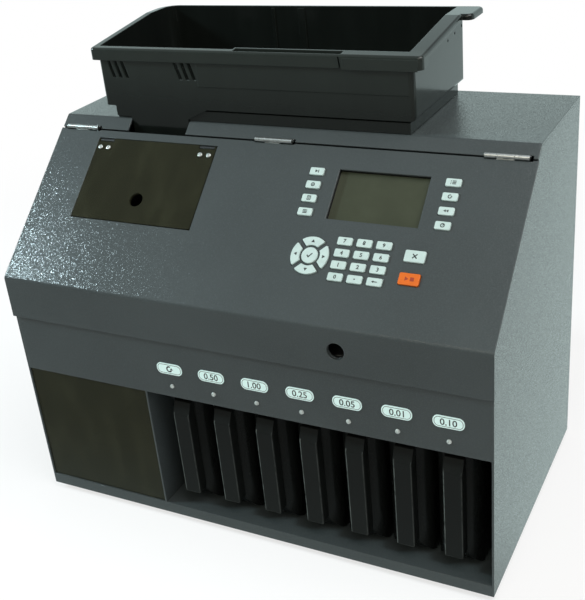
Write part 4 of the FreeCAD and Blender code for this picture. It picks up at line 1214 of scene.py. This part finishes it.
@dataclass(frozen=True)
class KeyPrints:
    """Numbers and signs on the keycaps."""

    frame: Frame
    slope: Slope
    printer: Printer
    figure_height: float = 4.2 * MM
    point_weight: float = 0.05
    sign_height: float = 4.2 * MM
    arrow_height: float = 4.6 * MM
    large_sign_height: float = 5.6 * MM
    arrow_band: float = 9.1 * MM

    def height(self, sign: Sign) -> float:
        """Height of a sign: arrows and large signs have their own."""
        plain = self.large_sign_height if sign in LARGE_SIGNS else self.sign_height
        return self.arrow_height if sign in ARROWS else plain

    def print_on(self, name: str, mark: Surface, ink: bpy.types.Material, side: Side = (0, 0)) -> None:
        """Lay one mark on the middle of a key's face, or of the band along an arrow key's outer side.

        Args:
            name: the key.
            mark: the mark, in flat coordinates.
            ink: the mark's finish.
            side: the side that an arrow key's band lies on, as (across, up).
        """
        low, high, level = self.slope.face(self.frame["nodes"][name])
        across, up = (low + high) / 2 + np.array(side) * (high - low - self.arrow_band) / 2
        plane = self.slope.plane(across, up, level + self.printer.lift)
        plane.lay(mark).build(f"print_{name}", name, ink)

    def build(self, ink: bpy.types.Material, deep_ink: bpy.types.Material) -> None:
        """Print every key.

        Args:
            ink: finish of all marks but one.
            deep_ink: finish of the start key's mark.
        """
        for figure in range(10):
            self.print_on(f"key_{figure}", self.printer.number(str(figure), self.figure_height), ink)
        self.print_on("key_point", self.printer.number(".", self.figure_height, self.point_weight), ink)
        for sign in Sign:
            mark = self.printer.sign(sign, self.height(sign))
            self.print_on(sign.value, mark, deep_ink if sign is Sign.RUN else ink, ARROWS.get(sign, (0, 0)))


@dataclass(frozen=True)
class BinLabels:
    """Ring lines and coin values on the seven plates over the bins; the first has a turning arrow."""

    printer: Printer
    values: tuple[str, ...] = ("", "0.50", "1.00", "0.25", "0.05", "0.01", "0.10")
    figure_height: float = 7.2 * MM
    figure_weight: float = 0.012
    plate_width: float = 31.0 * MM
    plate_height: float = 13.0 * MM
    plate_radius: float = 5.85 * MM
    ring_inset: float = 1.5 * MM
    ring_line: float = 0.5 * MM

    def plane(self, index: int) -> Plane:
        """Front of the plate over one bin.

        Args:
            index: number of the bin, from zero at the left.

        Returns:
            The plane, with its middle over the bin's middle.
        """
        plates_low, plates_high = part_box("bin_label_plates")
        bin_low, bin_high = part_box(f"coin_bin_{index + 1}")
        across = (bin_low.x + bin_high.x) / 2
        level = (plates_low.z + plates_high.z) / 2
        return Plane(np.array([across, plates_low.y - self.printer.lift, level]), ACROSS, UPRIGHT)

    def mark(self, value: str) -> Surface:
        """A plate's value, or a turning arrow where it has none."""
        turn = self.printer.sign(Sign.TURN, self.figure_height)
        return self.printer.number(value, self.figure_height, self.figure_weight) if value else turn

    def build(self, ink: bpy.types.Material) -> None:
        """Print every plate.

        Args:
            ink: finish of the prints.
        """
        inset = self.ring_inset
        size = (self.plate_width - 2 * inset, self.plate_height - 2 * inset)
        ring = band(pill(*size, self.plate_radius - inset), self.ring_line, self.printer.film, True)
        for index, value in enumerate(self.values):
            whole = ring.joined(self.mark(value))
            self.plane(index).lay(whole).build(f"print_bin_label_{index + 1}", "cabinet", ink)


@dataclass(frozen=True)
class RearScrews:
    """Pan-head screws that hold the rear panel, with cross recesses."""

    radius: float = 3.4 * MM
    crown: float = 1.7 * MM
    fullness: float = 0.4
    slot_half: float = 0.45 * MM
    slot_reach: float = 2.0 * MM
    slot_depth: float = 1.1 * MM
    slot_wall: float = 0.12 * MM
    inset: float = 9.0 * MM
    rows: int = 4
    rings: int = 26
    spokes: int = 64

    def head(self) -> Surface:
        """Head over a disc: height crown * (1 - (r / radius)^2)^fullness, less the cross recess.

        The recess is as deep as slot_depth where either flat coordinate is under slot_half and the
        other is under slot_reach, with a steep ramp as wide as slot_wall at its walls.

        Returns:
            The closed surface of one head, in flat coordinates.
        """
        share = np.linspace(1.0 / self.rings, 1.0, self.rings)[:, None]
        angle = np.linspace(0.0, 2 * math.pi, self.spokes, endpoint=False)[None, :]
        across, up = self.radius * share * np.cos(angle), self.radius * share * np.sin(angle)
        short, long = np.minimum(abs(across), abs(up)), np.maximum(abs(across), abs(up))
        narrow = ((self.slot_half - short) / self.slot_wall).clip(0.0, 1.0)
        within = ((self.slot_reach - long) / self.slot_wall).clip(0.0, 1.0)
        dome = self.crown * (1.0 - share**2).clip(0.0) ** self.fullness
        height = dome - self.slot_depth * narrow * within
        grid = np.stack([across, up, height], axis=-1).reshape(-1, 3)
        middle = np.array([[0.0, 0.0, self.crown - self.slot_depth]])
        faces = [tuple(face) for face in grid_faces(self.rings, self.spokes, True)]
        pole = len(grid)
        faces += [(pole, spoke, (spoke + 1) % self.spokes) for spoke in range(self.spokes)]
        faces.append(tuple(range(pole - self.spokes, pole))[::-1])
        return Surface(np.concatenate([grid, middle]), faces)

    def build(self, metal: bpy.types.Material) -> None:
        """Set the screws down both edges of the rear panel.

        Args:
            metal: finish of the screws.
        """
        low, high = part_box("rear_panel")
        head = self.head()
        levels = np.linspace(low.z + self.inset, high.z - self.inset, self.rows)
        for side, across in (("left", low.x + self.inset), ("right", high.x - self.inset)):
            for row, level in enumerate(levels):
                laid = Plane(np.array([across, high.y, level]), -ACROSS, UPRIGHT).lay(head)
                screw = laid.build(f"rear_screw_{side}_{row + 1}", "cabinet", metal, smooth=True)


@dataclass(frozen=True)
class Lamp:
    """One flat lamp that faces a point of the machine."""

    name: str
    place: Triple
    size: Pair
    power: float
    colour: Triple = WHITE
    aim: Triple = (0.0, 0.0, 0.25)

    def build(self) -> None:
        """Add the lamp."""
        light = bpy.data.lights.new(self.name, "AREA")
        light.shape = "RECTANGLE"
        light.size, light.size_y = self.size
        light.energy = self.power
        light.color = self.colour
        toward = Vector(self.aim) - Vector(self.place)
        turn = toward.to_track_quat("-Z", "Y").to_matrix().to_4x4()
        put(self.name, light, Matrix.Translation(self.place) @ turn)


@dataclass(frozen=True)
class Studio:
    """Pale floor, lamps, white surround, and the camera at the photograph's place."""

    camera_place: Triple = (0.4946, -0.8937, 0.7381)
    camera_ahead: Triple = (-0.4358, 0.7792, -0.4504)
    camera_up: Triple = (-0.1308, 0.4403, 0.8883)
    lens: float = 60.573
    sensor: float = 36.0
    floor_half: float = 9.0
    floor_tone: Triple = (0.93, 0.93, 0.93)
    mirror_tone: Triple = (0.8, 1.0, 0.98)
    room_tone: Triple = (0.13, 0.145, 0.14)
    ceiling_tone: Triple = (0.32, 0.36, 0.37)
    ambient: float = 0.3
    room_span: Pair = (-0.35, 0.1)
    ceiling_span: Pair = (0.3, 0.65)

    def world(self) -> None:
        """White to the camera, a room to mirrors, and a plain level of light to matt surfaces."""
        world = bpy.data.worlds.new("studio")
        world.use_nodes = True
        bpy.context.scene.world = world
        graph = Graph(world.node_tree)
        seen = graph.seen()
        direction = graph.node("ShaderNodeTexCoord", output="Generated")
        behind = graph.part(direction, 1).ramp(*self.room_span)
        overhead = graph.part(direction, 2).ramp(*self.ceiling_span)
        walls = graph.mix(behind, self.room_tone, self.mirror_tone)
        surround = graph.mix(overhead, walls, self.ceiling_tone)
        tone = graph.mix(1.0 - seen, surround, WHITE)
        tone = graph.mix(graph.ray("Camera"), tone, WHITE)
        strength = self.ambient + (1.0 - self.ambient) * seen
        light = graph.node("ShaderNodeBackground", None, {"Color": tone, "Strength": strength})
        graph.node("ShaderNodeOutputWorld", None, {"Surface": light})

    def floor(self) -> None:
        """Wide pale floor: a flat grid of points at height zero."""
        reach = np.linspace(-self.floor_half, self.floor_half, 3)
        across, along = np.meshgrid(reach, reach)
        points = np.stack([across, along, np.zeros_like(across)], axis=-1).reshape(-1, 3)
        paper = FloorPaper(
            "floor_white", self.floor_tone, room_tone=self.room_tone, mirror_tone=self.mirror_tone
        )
        faces = [tuple(face) for face in grid_faces(len(reach), len(reach), False)]
        Surface(points, faces).shown("floor", paper.material())

    def lamps(self) -> list[Lamp]:
        """A small cool lamp on the left whose mirror image glints in the paint, and two wide fills.

        Returns:
            The lamps.
        """
        key = Lamp(
            "key_lamp", place=(-1.98, -0.77, 1.46), size=(0.3, 0.3), power=34.0, colour=(0.72, 0.94, 1.0)
        )
        front = Lamp(
            "front_fill", place=(0.4, -2.1, 1.9), size=(1.8, 1.2), power=15.0, colour=(1.0, 0.94, 0.76)
        )
        return [key, front, Lamp("top_fill", place=(1.1, -0.3, 2.45), size=(1.8, 1.8), power=45.0)]

    def camera(self) -> None:
        """Camera at the photograph's place."""
        data = bpy.data.cameras.new("photo_camera")
        data.lens = self.lens
        data.sensor_width = self.sensor
        ahead = Vector(self.camera_ahead).normalized()
        right = ahead.cross(Vector(self.camera_up)).normalized()
        turn = Matrix((right, right.cross(ahead), -ahead)).transposed().to_4x4()
        place = Matrix.Translation(self.camera_place) @ turn
        bpy.context.scene.camera = put("photo_camera", data, place)

    def build(self) -> None:
        """Set the whole studio."""
        self.world()
        self.floor()
        for lamp in self.lamps():
            lamp.build()
        self.camera()
        bpy.context.scene.view_settings.view_transform = "Standard"


@dataclass(frozen=True)
class Cabinet:
    """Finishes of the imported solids, by the record's material slots."""

    frame: Frame
    slope: Slope
    window: Pair = (95.4 * MM, 54.6 * MM)
    window_film: float = 0.1 * MM
    flap_margin: float = 2.0 * MM
    flap_film: float = 0.05 * MM
    board_parts: float = 9.8 * MM
    handle_depth: float = 11.0 * MM
    tray_foot: float = 15.0 * MM
    tray_rim: float = 16.0 * MM
    tray_front: float = 6.0 * MM

    def nickel(self) -> PlatedMetal:
        """Plated metal that is painted on the flap's own hinges, under the flap's face.

        Returns:
            The finish of hinges and screws.
        """
        low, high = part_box("flap_window")
        level = self.slope.face(self.frame["nodes"]["flap_window"])[2]
        return PlatedMetal(
            "bright_nickel",
            (0.78, 0.79, 0.77),
            dark_middle=(low.x + high.x) / 2,
            dark_half=(high.x - low.x) / 2 + self.flap_margin,
            dark_level=level + self.flap_film,
            out=tuple(self.slope.out),
        )

    def display(self) -> DisplayGlass:
        """Display glass whose screen is the second highest face of the module, as large as the window.

        Returns:
            The finish of the display.
        """
        module = self.frame["nodes"]["display_module"]
        low, high, _ = self.slope.face(module)
        return DisplayGlass(
            "display_glass",
            (0.05, 0.056, 0.037),
            middle=tuple((low + high) / 2),
            half=tuple(size / 2 for size in self.window),
            up=tuple(self.slope.up),
            out=tuple(self.slope.out),
            screen_level=self.slope.levels(module)[-2] + self.window_film,
        )

    def tray(self) -> TrayPlastic:
        """Glossy tray plastic, with its painted light rising between the tray's foot and rim, and painted
        highlights on its edges.

        Returns:
            The finish of the coin tray.
        """
        low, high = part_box("coin_tray")
        return TrayPlastic(
            "tray_black",
            (0.0105, 0.013, 0.0115),
            relief=0.15 * MM,
            edge_radius=1.0 * MM,
            # a strong edge tone: painted highlights along the rim's edges, over some wear
            edge_tone=7.0,
            edge_share=0.8,
            gloss=0.1,
            foot=low.z + self.tray_foot,
            rim=high.z - self.tray_rim,
            front=low.y + self.tray_front,
        )

    def bins(self) -> BinPlastic:
        """Bin plastic, with the handles' places taken from the first bin and the pitch to the second.

        Returns:
            The finish of the coin bins.
        """
        points = mesh_points(self.frame["nodes"]["coin_bin_1"].data)
        tub_front = points[:, 1].min() + self.handle_depth
        handle = points[points[:, 1] < tub_front]
        low, high = handle.min(0), handle.max(0)
        return BinPlastic(
            "bin_black",
            (0.005, 0.0057, 0.0053),
            gloss=0.24,
            index=1.25,
            tub_front=tub_front,
            handle_front=low[1],
            first_middle=(low[0] + high[0]) / 2,
            pitch=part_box("coin_bin_2")[0].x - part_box("coin_bin_1")[0].x,
            handle_half=(high[0] - low[0]) / 2,
            handle_foot=low[2],
        )

    def finishes(self) -> list[Finish]:
        """Choose the finishes.

        Returns:
            One finish for each slot, named after it.
        """
        parts_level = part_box("control_board")[0].z + self.board_parts
        return [
            PowderCoat("grey_paint", (0.043, 0.0515, 0.0525)),
            SmokedSheet("smoked_pane", (0.02, 0.0205, 0.011)),
            self.nickel(),
            PrintedPlate("label_white", (0.71, 0.89, 0.86)),
            FrostedLens("lens_clear", (0.32, 0.355, 0.34)),
            FootRubber("foot_rubber", (0.012, 0.012, 0.012)),
            BrushedSheet("deck_aluminium", (0.66, 0.67, 0.68)),
            MouldedPlastic("chute_plastic", (0.05, 0.052, 0.055), gloss=0.4),
            BrushedSheet("motor_steel", (0.42, 0.42, 0.41), roughness=0.42),
            CircuitBoard("board_green", (0.008, 0.055, 0.022), parts_level=parts_level),
            MouldedPlastic("inlet_black", (0.012, 0.012, 0.012), gloss=0.38),
            self.display(),
            self.tray(),
            self.bins(),
            KeyRubber("start_orange", (0.64, 0.13, 0.014), grime=(0.3, 0.05, 0.01)),
            KeyRubber("key_white", (0.47, 0.58, 0.555)),
        ]

    def dress(self) -> dict[str, bpy.types.Material]:
        """Give every solid the finish of its slot.

        Returns:
            The materials by slot.
        """
        materials = {finish.name: finish.material() for finish in self.finishes()}
        for part in self.frame["record"]["subparts"]:
            node = self.frame["nodes"][part["node"]]
            node.data.materials.clear()
            node.data.materials.append(materials[part["material_slot"]])
            log.info("%s is finished in %s", part["node"], part["material_slot"])
        return materials


def main() -> None:
    """Load the solids, dress them, add the printed and fastened pieces and set the studio."""
    logging.basicConfig(level=logging.INFO, format="%(message)s")
    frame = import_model()
    slope = Slope.of(frame)
    materials = Cabinet(frame, slope).dress()
    ink = Ink("print_ink", (0.012, 0.014, 0.014)).material()
    deep_ink = Ink("start_ink", (0.28, 0.03, 0.005)).material()
    printer = Printer()
    KeyPrints(frame, slope, printer).build(ink, deep_ink)
    BinLabels(printer).build(ink)
    RearScrews().build(materials["bright_nickel"])
    Studio().build()
    bpy.context.view_layer.update()


if __name__ == "__main__":
    main()
